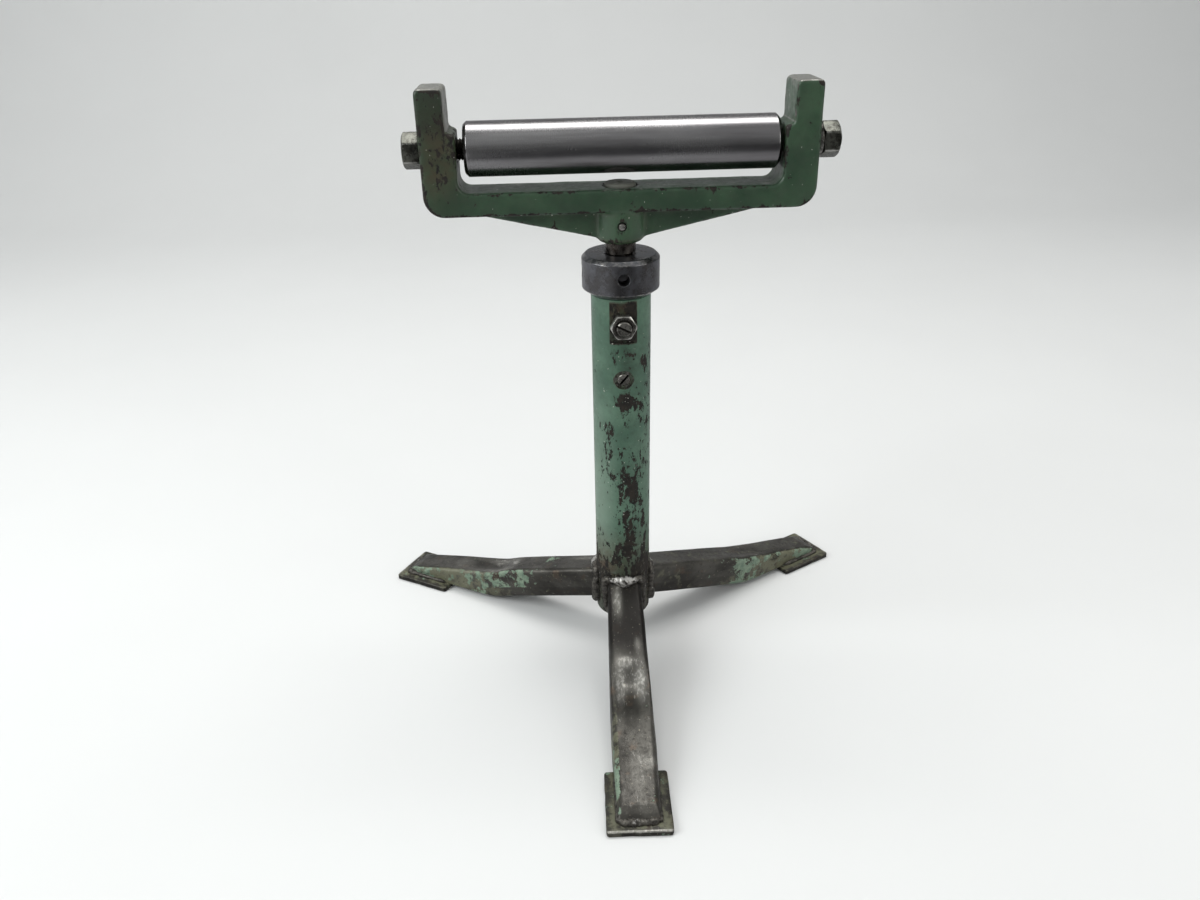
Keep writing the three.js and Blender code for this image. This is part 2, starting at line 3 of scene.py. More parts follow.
import bmesh
import bpy
import numpy as np
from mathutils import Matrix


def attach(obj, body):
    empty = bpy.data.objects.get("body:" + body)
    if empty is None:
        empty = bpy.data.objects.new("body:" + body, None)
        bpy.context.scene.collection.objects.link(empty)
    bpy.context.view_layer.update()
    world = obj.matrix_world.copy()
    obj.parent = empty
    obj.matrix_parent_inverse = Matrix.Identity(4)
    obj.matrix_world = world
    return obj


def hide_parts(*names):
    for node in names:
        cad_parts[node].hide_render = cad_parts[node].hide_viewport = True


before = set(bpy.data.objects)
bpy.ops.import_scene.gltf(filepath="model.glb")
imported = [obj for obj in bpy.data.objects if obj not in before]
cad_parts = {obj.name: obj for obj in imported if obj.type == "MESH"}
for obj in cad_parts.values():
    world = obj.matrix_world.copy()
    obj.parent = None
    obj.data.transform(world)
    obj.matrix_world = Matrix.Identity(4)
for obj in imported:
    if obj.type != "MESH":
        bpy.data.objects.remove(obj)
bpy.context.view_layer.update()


# Foot plates
# Three pieces of 50 by 60 mm, sheared from 5 mm steel strip, one welded under the toe of
# each leg. Dirty, with scraps of paint, blunted corners and a front edge rubbed bright.

mm = 0.001
column_y = 51.8665 * mm
leg_headings = {"front": -92.0, "left": 150.0, "right": 30.0}
foot_reach = 248 * mm
plate_length, plate_width, plate_thickness = 60 * mm, 50 * mm, 5 * mm


def turned_to(side, points):
    """Points drawn with x out from the column, y across and z up, turned to a leg's heading
    about the column's axis."""
    turn = math.radians(leg_headings[side])
    x, y, z = np.moveaxis(points, -1, 0)
    across = math.sin(turn) * x + math.cos(turn) * y
    return np.stack([math.cos(turn) * x - math.sin(turn) * y, across + column_y, z], axis=-1)


def turned_back(side, points):
    """The reverse: points of the stand in a leg's own x out, y across and z up."""
    turn = math.radians(leg_headings[side])
    x, y, z = np.moveaxis(points, -1, 0)
    y = y - column_y
    across = math.cos(turn) * y - math.sin(turn) * x
    return np.stack([math.cos(turn) * x + math.sin(turn) * y, across, z], axis=-1)


def lumps(points, size, seed):
    """Smooth random field from -1 to 1: seeded random values on a cubic lattice of the given
    spacing, blended between the eight corners of a cell with eased weights."""
    table = np.random.default_rng(seed).uniform(-1, 1, 4096)
    cell = np.floor(points / size).astype(np.int64)
    ease = points / size - cell
    ease = ease * ease * (3 - 2 * ease)
    total = np.zeros(points.shape[:-1])
    for corner in np.ndindex(2, 2, 2):
        weight = np.where(corner, ease, 1 - ease).prod(axis=-1)
        key = np.bitwise_xor.reduce((cell + corner) * (73856093, 19349663, 83492791), axis=-1)
        total += table[key & 4095] * weight
    return total


def bell(value, middle, half):
    """Smooth hump that is 1 at the middle and about a third at a half-width to either side: e to
    the power of minus the square of the distance in half-widths."""
    return np.exp(-(((value - middle) / half) ** 2))


def rounded_outline(length, width, corner, per_side, per_corner):
    """Closed outline of a rectangle, counter-clockwise: a quarter circle at each corner and
    evenly spaced points on the straight sides between them."""
    quarter = np.arange(4)[:, None] * np.pi / 2
    angle = quarter + np.linspace(0, np.pi / 2, per_corner)
    middle = np.array([[1, 1], [-1, 1], [-1, -1], [1, -1]]) * (length / 2 - corner, width / 2 - corner)
    arcs = middle[:, None] + corner * np.stack([np.cos(angle), np.sin(angle)], axis=-1)
    run = np.roll(arcs[:, :1], -1, axis=0) - arcs[:, -1:]
    share = np.linspace(0, 1, per_side + 2)[1:-1, None]
    return np.concatenate([arcs, arcs[:, -1:] + run * share], axis=1).reshape(-1, 2)


def skin(name, *shells, loop=False, crease=40):
    """Mesh piece from shells of rings, where shell[v, u] is point u of ring v. Each ring closes
    on itself and quads join it to the next one. The last ring joins the first in a loop, and
    otherwise a fan to the ring's middle closes each end."""
    points, faces, base = [], [], 0
    for rings in shells:
        rows, columns = rings.shape[:2]
        here = base + np.arange(rows * columns).reshape(rows, columns)
        beside = np.roll(here, -1, axis=1)
        quads = np.stack([here, beside, np.roll(beside, -1, axis=0), np.roll(here, -1, axis=0)], axis=-1)
        points.append(rings.reshape(-1, 3))
        base += rows * columns
        if loop:
            faces += quads.reshape(-1, 4).tolist()
            continue
        faces += quads[:-1].reshape(-1, 4).tolist()
        for ring, nearby, end in ((beside[0], here[0], rings[0]), (here[-1], beside[-1], rings[-1])):
            points.append(end.mean(axis=0, keepdims=True))
            faces += np.stack([ring, nearby, np.full(columns, base)], axis=-1).tolist()
            base += 1
    mesh = bpy.data.meshes.new(name)
    mesh.from_pydata(np.concatenate(points).tolist(), [], faces)
    work = bmesh.new()
    work.from_mesh(mesh)
    bmesh.ops.recalc_face_normals(work, faces=work.faces)
    work.to_mesh(mesh)
    work.free()
    mesh.shade_smooth()
    mesh.set_sharp_from_angle(angle=math.radians(crease))
    piece = bpy.data.objects.new(name, mesh)
    bpy.context.collection.objects.link(piece)
    return piece


def points_of(piece):
    """All corners of a piece as one array."""
    flat = np.empty(3 * len(piece.data.vertices))
    piece.data.vertices.foreach_get("co", flat)
    return flat.reshape(-1, 3)


def mark(piece, name, amount):
    """Stores how strongly each corner of a piece shows a kind of wear, from 0 to 1."""
    layer = piece.data.attributes.new(name, "FLOAT", "POINT")
    layer.data.foreach_set("value", np.clip(amount, 0, 1).astype(np.float32))


def keep_place(piece, places):
    """Stores where each corner lies in its leg's own directions, for patterns along the leg."""
    layer = piece.data.attributes.new("leg_place", "FLOAT_VECTOR", "POINT")
    layer.data.foreach_set("vector", places.astype(np.float32).ravel())


def fixed(piece, finish, body, slot, *nodes):
    """Gives a piece its finish and fixes it to its body in place of the solids it stands for."""
    piece.data.materials.append(finish)
    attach(piece, body)
    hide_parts(*nodes)


def new_finish(name):
    """New material: its node tree, its shader and the place on the object to pattern it by."""
    material = bpy.data.materials.new(name)
    material.use_nodes = True
    tree = material.node_tree
    return material, tree, tree.nodes["Principled BSDF"], put(tree, "TexCoord").outputs["Object"]


def put(tree, kind, inputs=(), **settings):
    """Adds a node. inputs pairs a socket with the value it holds or the socket that feeds it."""
    node = tree.nodes.new("ShaderNode" + kind)
    for key, value in settings.items():
        setattr(node, key, value)
    for key, value in dict(inputs).items():
        if isinstance(value, bpy.types.NodeSocket):
            tree.links.new(value, node.inputs[key])
        else:
            node.inputs[key].default_value = value
    return node


def cloud(tree, place, scale, detail=5, roughness=0.6, stretch=None, shift=0.0):
    """Mottled field from 0 to 1 with so many blotches per metre, drawn out along an axis by
    the stretch."""
    if stretch or shift:
        turn = {"Vector": place, "Scale": stretch or (1, 1, 1), "Location": (shift, shift, shift)}
        place = put(tree, "Mapping", turn).outputs["Vector"]
    noise = {"Vector": place, "Scale": scale, "Detail": detail, "Roughness": roughness}
    return put(tree, "TexNoise", noise).outputs["Fac"]


def rise(tree, value, start, stop, low=0.0, high=1.0):
    """Goes smoothly from low to high as the value goes from start to stop."""
    limits = {"Value": value, "From Min": start, "From Max": stop, "To Min": low, "To Max": high}
    return put(tree, "MapRange", limits, interpolation_type="SMOOTHSTEP").outputs["Result"]


def sum_of(tree, first, second, operation="ADD"):
    """Adds two values, or joins them by another operation."""
    return put(tree, "Math", {0: first, 1: second}, operation=operation).outputs[0]


def tint(tree, share, under, over):
    """Colour that goes from under to over by the share."""
    return put(tree, "Mix", {0: share, 6: under, 7: over}, data_type="RGBA").outputs[2]


def shade(red, green, blue):
    """Colour as the eye reads it on a screen, 0 to 255, turned into light."""
    light = [((c / 255 + 0.055) / 1.055) ** 2.4 for c in (red, green, blue)]
    return (*light, 1)


def wear(tree, name):
    """The amount of a kind of wear that the piece's corners carry."""
    return put(tree, "Attribute", attribute_name=name).outputs["Fac"]


def relief(tree, shader, height, depth, strength=1.0, under=None):
    """Raises the surface by the height times a depth in metres, on top of an earlier relief."""
    inputs = {"Height": height, "Distance": depth, "Strength": strength}
    if under:
        inputs["Normal"] = under
    normal = put(tree, "Bump", inputs).outputs["Normal"]
    tree.links.new(normal, shader.inputs["Normal"])
    return normal


def bare_leg_steel():
    """Dark brown-grey steel with mill scale: mottled in two greys, dirtied to olive, darkened by soot and
    painted shade, scuffed bright and lit with a painted sheen along the leg where marked, with scraps of
    old green paint and pale flecks."""
    material, tree, shader, place = new_finish("bare_leg_steel")
    along = put(tree, "Attribute", attribute_name="leg_place").outputs["Vector"]
    broad = cloud(tree, along, 40, 8, 0.6, stretch=(0.5, 1, 1))
    fine = cloud(tree, place, 260, 7, 0.7)
    colour = tint(tree, rise(tree, broad, 0.36, 0.64), shade(57, 55, 51), shade(90, 88, 83))
    brown = rise(tree, cloud(tree, place, 70, 6, 0.6, shift=3.1), 0.56, 0.68, 0.0, 0.6)
    colour = tint(tree, brown, colour, shade(92, 78, 66))
    stains = cloud(tree, place, 120, 9, 0.68, shift=12.3)
    film = sum_of(tree, sum_of(tree, wear(tree, "film"), 0.3, "MULTIPLY"), stains)
    film = rise(tree, film, 0.62, 0.8, 0.0, 0.85)
    colour = tint(tree, film, colour, tint(tree, fine, shade(72, 74, 55), shade(130, 130, 106)))
    # Soot and painted shade darken the steel where marked.
    soot_and_shade = sum_of(tree, rise(tree, fine, 0.54, 0.7, 0.0, 0.7), wear(tree, "soot_and_shade"), "MAXIMUM")
    colour = tint(tree, soot_and_shade, colour, shade(29, 26, 24))
    rub_and_sheen = wear(tree, "rub_and_sheen")
    # Painted sheen: the marked parts are lightened broadly, under the scuffs.
    colour = tint(tree, rise(tree, rub_and_sheen, 0.1, 1.0, 0.0, 0.55), colour, shade(152, 150, 144))
    streaks = cloud(tree, along, 420, 9, 0.74, stretch=(0.28, 1, 1), shift=9.4)
    scuffs = sum_of(tree, sum_of(tree, rub_and_sheen, 0.22, "MULTIPLY"), streaks)
    scuffs = rise(tree, scuffs, 0.62, 0.84, 0.0, 0.85)
    colour = tint(tree, scuffs, colour, shade(184, 182, 176))
    flakes = cloud(tree, place, 95, 12, 0.72, shift=7.7)
    scraps = sum_of(tree, sum_of(tree, wear(tree, "scrap"), 0.2, "MULTIPLY"), flakes)
    scraps = rise(tree, scraps, 0.68, 0.7)
    green = tint(tree, rise(tree, fine, 0.35, 0.65), shade(96, 118, 101), shade(131, 148, 128))
    colour = tint(tree, scraps, colour, green)
    flecks = rise(tree, cloud(tree, place, 620, 3, 0.5, shift=5.2), 0.7, 0.74, 0.0, 0.75)
    colour = tint(tree, flecks, colour, shade(176, 168, 148))
    tree.links.new(colour, shader.inputs["Base Color"])
    covered = sum_of(tree, scraps, film, "MAXIMUM")
    tree.links.new(rise(tree, covered, 0, 1, 0.62, 0.0), shader.inputs["Metallic"])
    rough = sum_of(tree, rise(tree, fine, 0.3, 0.7, 0.3, 0.48), rise(tree, scraps, 0, 1, 0, 0.18))
    tree.links.new(rough, shader.inputs["Roughness"])
    scale = relief(tree, shader, fine, 0.0004, 0.45)
    pits = relief(tree, shader, broad, 0.0012, 0.3, scale)
    relief(tree, shader, scraps, 0.00015, 1.0, pits)
    return material


leg_steel = bare_leg_steel()
for side in leg_headings:
    edges = [(14, 0), (3, 0), (0.9, 0), (0.25, 0.25), (0, 0.9)]
    edges += [(0, 3.6), (0.1, 4.4), (0.35, 4.75), (1.0, 5), (2.2, 5), (6, 5), (10, 5), (14, 5)]
    plate = []
    for inset, level in edges:
        length, width = plate_length - 2 * inset * mm, plate_width - 2 * inset * mm
        flat = rounded_outline(length, width, max(2.6 - inset, 0.6) * mm, 24, 6)
        plate.append(np.column_stack([flat, np.full(len(flat), level * mm)]))
    plate = np.array(plate)
    nibble = 1 - 0.009 * (1 + lumps(plate + leg_headings[side], 9 * mm, 11)[..., None])
    plate[..., :2] *= nibble
    plate[..., 0] += foot_reach - plate_length / 2
    piece = skin(f"plate_{side}", turned_to(side, plate))
    places = turned_back(side, points_of(piece))
    keep_place(piece, places)
    x, y, z = places.T / mm
    front_edge = bell(x, foot_reach / mm, 1.9) * (z > 4)
    mark(piece, "rub_and_sheen", 1.3 * front_edge + 0.08)
    mark(piece, "scrap", 0.2 + 0.3 * bell(np.abs(y), 19, 4))
    by_toe = bell(x, 241, 4) * bell(y, 8, 13)
    beside_leg = bell(np.abs(y), 18, 4)
    shaded_sheared_edge = (z > 0.5) * (z < 4)
    mark(piece, "film", 0.5 + 0.5 * by_toe + 0.4 * beside_leg)
    # Painted shade: the sheared edges all round are darkened.
    mark(piece, "soot_and_shade", 0.3 - 0.3 * by_toe - 0.2 * beside_leg + 0.5 * shaded_sheared_edge)
    fixed(piece, leg_steel, "base", "leg_steel", f"foot_plate_{side}")


# Legs
# Three lengths of 30 mm square tube, cut level at the toe and bent up a little over the floor,
# which buckled the top of each tube. Bare where the old green paint has gone.

leg_size, leg_corner, root_radius = 30 * mm, 4.5 * mm, 21.5 * mm
leg_top = np.array([[24.15, 69], [150, 31], [239, 10.8]]) * mm
inner_slope, outer_slope = np.arctan2(-np.diff(leg_top[:, 1]), np.diff(leg_top[:, 0]))
leg_root = leg_top[0] - leg_size / 2 * np.array([math.sin(inner_slope), math.cos(inner_slope)])
dent_reaches = {"front": 124, "left": 138, "right": 140}
dents = {"front": 7.5 * mm, "left": 4.8 * mm, "right": 0.9 * mm}
bulges = {"front": 0.17, "left": 0.06, "right": 0.03}
rub_and_sheen_shares = {"front": 1.0, "left": 0.65, "right": 0.25}
dirty_shares = {"front": 0.0, "left": 0.2, "right": 0.3}


def leg_rings(dent, dent_reach, bulge, seed):
    """Rounded square carried along the leg's top line. The slope is even, eases over at the
    bend and is even again, and the line's points are the running sums of its cosine and sine.
    A bell at the dent presses the top in, steeper towards the root, and the sides swell beside
    it. The toe is hammered down and cut level, and the root stops in the column's wall."""
    runs = np.linalg.norm(np.diff(leg_top, axis=0), axis=1)
    run = np.linspace(0, runs.sum(), 320)
    slope = np.interp(run, runs[0] + np.array([-22, 22]) * mm, [inner_slope, outer_slope])
    middle, step = (slope[1:] + slope[:-1]) / 2, np.diff(run)
    out = leg_top[0, 0] + np.concatenate([[0], np.cumsum(np.cos(middle) * step)])
    up = leg_top[0, 1] - np.concatenate([[0], np.cumsum(np.sin(middle) * step)])
    across, above = rounded_outline(leg_size, leg_size, leg_corner, 16, 7).T
    half = np.where(out < dent_reach * mm, 15, 24)
    hollow = bell(out / mm, dent_reach, half)[:, None]
    top = np.clip(above / (leg_size / 2), 0, 1) ** 2
    pressed = dent * hollow * top * (1 - 0.75 * (across / (leg_size / 2)) ** 2)
    share = np.interp(run, np.array([0, 45, 125, 165, 225]) * mm, [0, 0.4, 0.95, 0.95, 0.5])[:, None]
    across = across * (1 + bulge * share * (1 - 0.4 * above / leg_size))
    depth = above - leg_size / 2 - pressed
    x = out[:, None] + depth * np.sin(slope)[:, None]
    z = up[:, None] + depth * np.cos(slope)[:, None]
    rings = np.stack([x, across + 0 * x, z], axis=-1)
    rings[..., 1] *= 1 + 0.016 * lumps(rings, 30 * mm, seed) + 0.005 * lumps(rings, 7 * mm, seed + 1)
    rings[..., 2] += 0.35 * mm * lumps(rings, 22 * mm, seed + 2)
    hammered = np.interp(rings[..., 0] / mm, [180, 216, 230, 236, 240], [90, 17.5, 12.8, 10.2, 7.6]) * mm
    rings[..., 2] = np.clip(rings[..., 2], plate_thickness + 0.05 * mm, hammered)
    in_wall = np.sqrt(root_radius**2 - np.minimum(np.abs(rings[..., 1]), 18 * mm) ** 2)
    rings[..., 0] = np.maximum(rings[..., 0], in_wall)
    return rings


for number, side in enumerate(leg_headings):
    rings = leg_rings(dents[side], dent_reaches[side], bulges[side], 20 + 5 * number)
    piece = skin(f"leg_tube_{side}", turned_to(side, rings), crease=60)
    places = turned_back(side, points_of(piece))
    keep_place(piece, places)
    x, y, z = places.T / mm
    below_top = np.interp(x, *(leg_top.T / mm)) - z
    on_top = below_top < 9 + 4 * (side == "front")
    # Marks on the tops: scuffs, with a painted sheen on the dent's flanks and hollow, and a painted glint
    # at the dent's root-side end.
    flank_scuffs_and_sheen = bell(np.abs(y), 9, 4.5) * bell(x, dent_reaches[side] - 2, 20)
    near_root = bell(y, -7, 4) * bell(x, 42, 18) + 0.6 * bell(y, 8, 3) * bell(x, 88, 7)
    hollow = 0.4 * bell(y, 0, 8) * bell(x, dent_reaches[side] - 8, 14)
    painted_glint = 1.3 * bell(y, -3, 5) * bell(x, dent_reaches[side] - 20, 4)
    toe_scuffs = 0.75 * np.clip(lumps(places, 13 * mm, 91 + number), 0, 1) * bell(x, 195, 38)
    rubbed_and_sheen = on_top * (flank_scuffs_and_sheen + hollow + 0.9 * near_root + painted_glint + toe_scuffs)
    mark(piece, "rub_and_sheen", rub_and_sheen_shares[side] * rubbed_and_sheen + 0.06)
    # Painted shade: darker near the root beside the column, low on the sides, and in the dip just beyond
    # the dent.
    root_shade = {
        "front": 0.9 * np.clip((108 - x) / 24, 0, 1),
        "left": 0.3 * bell(x, 30, 40),
        "right": 0.2 * bell(x, 30, 60),
    }
    shade_below_dent = 0.35 * bell(x, dent_reaches[side] + 20, 7) * bell(y, 0, 8) * on_top
    low_side_shade = 0.3 * (below_top > 20)
    mark(piece, "soot_and_shade", root_shade[side] * (1 - 0.8 * near_root) + low_side_shade + shade_below_dent)
    seen = {"front": -y, "left": y, "right": -y}[side]
    on_side = seen > 13
    tip = on_side * bell(x, 222, 16) + 0.5 * bell(np.abs(y), 13, 4) * bell(x, 225, 14)
    upper_side = on_side * (below_top < 20)
    far_patch = on_top * bell(y, -6, 6) * bell(x, 80, 9)
    patches = {
        "front": 1.1 * on_side * bell(x, 205, 30),
        "left": 1.35 * upper_side * bell(x, 120, 30) + 0.5 * on_side * bell(x, 165, 45) + far_patch,
        "right": 1.2 * on_side * bell(x, 140, 13) + 0.55 * on_side * bell(x, 160, 50),
    }
    mark(piece, "scrap", patches[side] + 0.85 * tip + 0.12)
    side_film = 0.9 * bell(x, 180, 58) - 0.5 * upper_side * bell(x, 122, 34)
    mark(piece, "film", dirty_shares[side] + on_side * side_film)
    fixed(piece, leg_steel, "base", "leg_steel", f"leg_{side}")


# Weld beads
# Hand-laid steel beads: one all round the root of each leg on the column, and one along both
# sides and across the toe of each leg on its plate. Lumpy, dark, with painted highlights on their crests.

column_radius = 24.15 * mm


def bead(path, first, second, radius, closed, seed):
    """Rough round bar along a path: a circle in the plane of two directions at each point,
    its radius swelling with the ripples of the welding and with random lumps. An open bead
    runs out to nothing at its ends."""
    run = np.concatenate([[0], np.cumsum(np.linalg.norm(np.diff(path, axis=0), axis=1))])
    ripple = np.abs(np.sin(np.pi * run / (3.4 * mm)))
    thick = radius * (0.84 + 0.14 * ripple + 0.3 * lumps(path, 9 * mm, seed))
    if not closed:
        ends = np.minimum(run, run[-1] - run) / (6 * mm)
        thick = thick * np.sqrt(np.clip(ends, 0.02, 1))
    angle = np.linspace(0, 2 * np.pi, 20, endpoint=False)[None, :, None]
    turn = np.cos(angle) * first[:, None] + np.sin(angle) * second[:, None]
    ring = path[:, None] + thick[:, None, None] * turn
    rough = 0.5 * lumps(ring, 3 * mm, seed + 1) + 0.25 * lumps(ring, 1.4 * mm, seed + 2)
    return ring + rough[..., None] * mm * turn


def weld_metal_finish():
    """Dark oxidised bead: two greys in small blotches, with bright spots painted on its crests as
    highlights where marked.
    """
    material, tree, shader, place = new_finish("weld_bead")
    fine = cloud(tree, place, 230, 8, 0.7)
    colour = tint(tree, rise(tree, fine, 0.38, 0.62), shade(50, 47, 44), shade(100, 97, 91))
    spots = cloud(tree, place, 300, 6, 0.7, shift=2.2)
    crest_highlight = sum_of(tree, sum_of(tree, wear(tree, "rub_and_sheen"), 0.28, "MULTIPLY"), spots)
    colour = tint(tree, rise(tree, crest_highlight, 0.68, 0.8), colour, shade(196, 194, 190))
    tree.links.new(colour, shader.inputs["Base Color"])
    shader.inputs["Metallic"].default_value = 0.7
    tree.links.new(rise(tree, fine, 0.3, 0.7, 0.32, 0.55), shader.inputs["Roughness"])
    relief(tree, shader, cloud(tree, place, 420, 5), 0.0005, 0.7)
    return material


weld_metal = weld_metal_finish()
for number, side in enumerate(leg_headings):
    across, above = rounded_outline(leg_size + 2 * mm, leg_size + 2 * mm, 6 * mm, 26, 12).T
    axis_x = np.sqrt(column_radius**2 - np.minimum(np.abs(across), 20 * mm) ** 2)
    along = (axis_x - leg_root[0] - above * math.sin(inner_slope)) / math.cos(inner_slope)
    height = leg_root[1] - along * math.sin(inner_slope) + above * math.cos(inner_slope)
    root = np.stack([axis_x + 0.8 * mm, across, height], axis=-1)
    outward = np.stack([0 * across, across, above], axis=-1)
    outward /= np.linalg.norm(outward, axis=1, keepdims=True)
    radial = np.stack([axis_x, 0 * across, 0 * across], axis=-1) / axis_x[:, None]
    rings = bead(root, radial, outward, 4.8 * mm, True, 40 + number)
    piece = skin(f"root_bead_{side}", turned_to(side, rings), loop=True, crease=70)
    x, y, z = turned_back(side, points_of(piece)).T / mm
    # Painted highlight along the bead's upper outer crest.
    mark(piece, "rub_and_sheen", 0.25 + 0.75 * np.clip((x - 23.5) / 3.5, 0, 1) * (z > 62))
    fixed(piece, weld_metal, "base", "weld_metal", f"leg_weld_{side}")

    toe = rounded_outline(2 * 50 * mm, leg_size + 1.5 * mm, 5 * mm, 40, 10)
    toe = toe[toe[:, 0] > 2 * mm]
    toe = toe[np.argsort(np.arctan2(toe[:, 1], toe[:, 0]))]
    along, across = toe.T
    seat = np.stack([along + 189.5 * mm, across, 0 * along + plate_thickness + 0.6 * mm], axis=-1)
    ahead, beside = along > 46 * mm, along < 48 * mm
    outward = np.stack([1.0 * ahead, np.sign(across) * beside, 0 * along], axis=-1)
    outward /= np.linalg.norm(outward, axis=1, keepdims=True)
    upward = np.tile([0.0, 0.0, 1.0], (len(seat), 1))
    thick = np.where(ahead, 3.4, 2.5) * mm
    rings = bead(seat, outward, upward, thick, False, 50 + number)
    piece = skin(f"toe_bead_{side}", turned_to(side, rings))
    x, y, z = turned_back(side, points_of(piece)).T / mm
    # Painted highlight on the toe bead's front crest.
    mark(piece, "rub_and_sheen", 0.06 + 0.55 * bell(y, -3, 5) * (x > 236))
    fixed(piece, weld_metal, "base", "weld_metal", f"foot_weld_{side}")


# Column
# A 303 mm length of 48.3 mm steel pipe, stood on end between the legs and painted green. A
# flat is milled in front for the lock nut, and a spot face is sunk for the lower screw.

column_bottom, column_top = 31 * mm, 334 * mm
flat_front, flat_low, flat_high = 21.65 * mm, 298.03 * mm, 331 * mm
spot_face_level, spot_face_radius, spot_face_floor = 266.5 * mm, 8 * mm, 22.15 * mm


def lines_about(middles, offsets, low, high, spacing):
    """Sorted grid lines from low to high: the offsets both ways round each middle, and even
    spacing in what is left between them."""
    near = np.concatenate([offsets, -offsets[offsets > 0]])
    fixed_lines = np.unique(np.concatenate([np.add.outer(middles, near).ravel(), [low, high]]).round(7))
    gaps = np.diff(fixed_lines)
    parts = np.where(gaps > spacing, np.ceil(gaps / spacing), 1).astype(int)
    start = np.repeat(fixed_lines[:-1], parts)
    share = np.concatenate([np.arange(p) / p for p in parts])
    return np.append(start + np.repeat(gaps, parts) * share, high)


def drawn_round(a, b, radius, reach):
    """Draws the squares of a grid in to circles about its middle: a point on the square of
    half-width q goes to the circle of radius q inside the radius, and keeps its place at
    the reach. Returns the new place and q."""
    q = np.maximum(np.abs(a), np.abs(b))
    circle = q / np.maximum(np.hypot(a, b), 1e-9)
    ease = np.clip((reach - q) / (reach - radius), 0, 1)
    factor = 1 + ease * (circle - 1)
    return a * factor, b * factor, q


def column_shell():
    """Pipe as one loop of rings: up the outside, over the rim, down the bore. The outside is a
    cylinder over arc length and height, cut back to a plane for the milled flat and to a
    round floor for the spot face."""
    spot = np.array([0, 2, 4, 6, 7.9, 7.96, 8, 8.3, 9.2, 10.5]) * mm
    flat_edge = column_radius * math.acos(flat_front / column_radius)
    edges = np.append(spot, [flat_edge - 0.01 * mm, flat_edge, flat_edge + 0.6 * mm])
    arc = lines_about([0.0], edges, -np.pi * column_radius, np.pi * column_radius, 2.2 * mm)[:-1]
    rows = lines_about([spot_face_level], spot, column_bottom + 0.8 * mm, column_top - 0.5 * mm, 2.5 * mm)
    steps = [flat_low - 0.02 * mm, flat_low, flat_high, flat_high + 0.02 * mm]
    rows = np.unique(np.concatenate([rows, steps]))
    a, b = np.meshgrid(arc, rows - spot_face_level)
    a, b, q = drawn_round(a, b, spot_face_radius, 10.5 * mm)
    x = column_radius * np.sin(a / column_radius)
    front = column_radius * np.cos(a / column_radius)
    z = b + spot_face_level
    front = np.where(q <= 7.97 * mm, np.minimum(front, spot_face_floor), front)
    on_flat = (rows >= flat_low) & (rows <= flat_high)
    front = np.where(on_flat[:, None], np.minimum(front, flat_front), front)
    outside = np.stack([x, column_y - front, z], axis=-1)
    turn = arc / column_radius
    rim = [[-0.5, 333.9], [-1.2, 334], [-5, 334], [-5, 31], [-1.5, 31], [-0.5, 31.15], [-0.12, 31.4]]
    step, level = np.hsplit(np.array(rim) * mm, 2)
    radius = column_radius + step
    rest = np.stack(
        [radius * np.sin(turn), column_y - radius * np.cos(turn), level + 0 * turn], axis=-1
    )
    return np.concatenate([outside, rest])


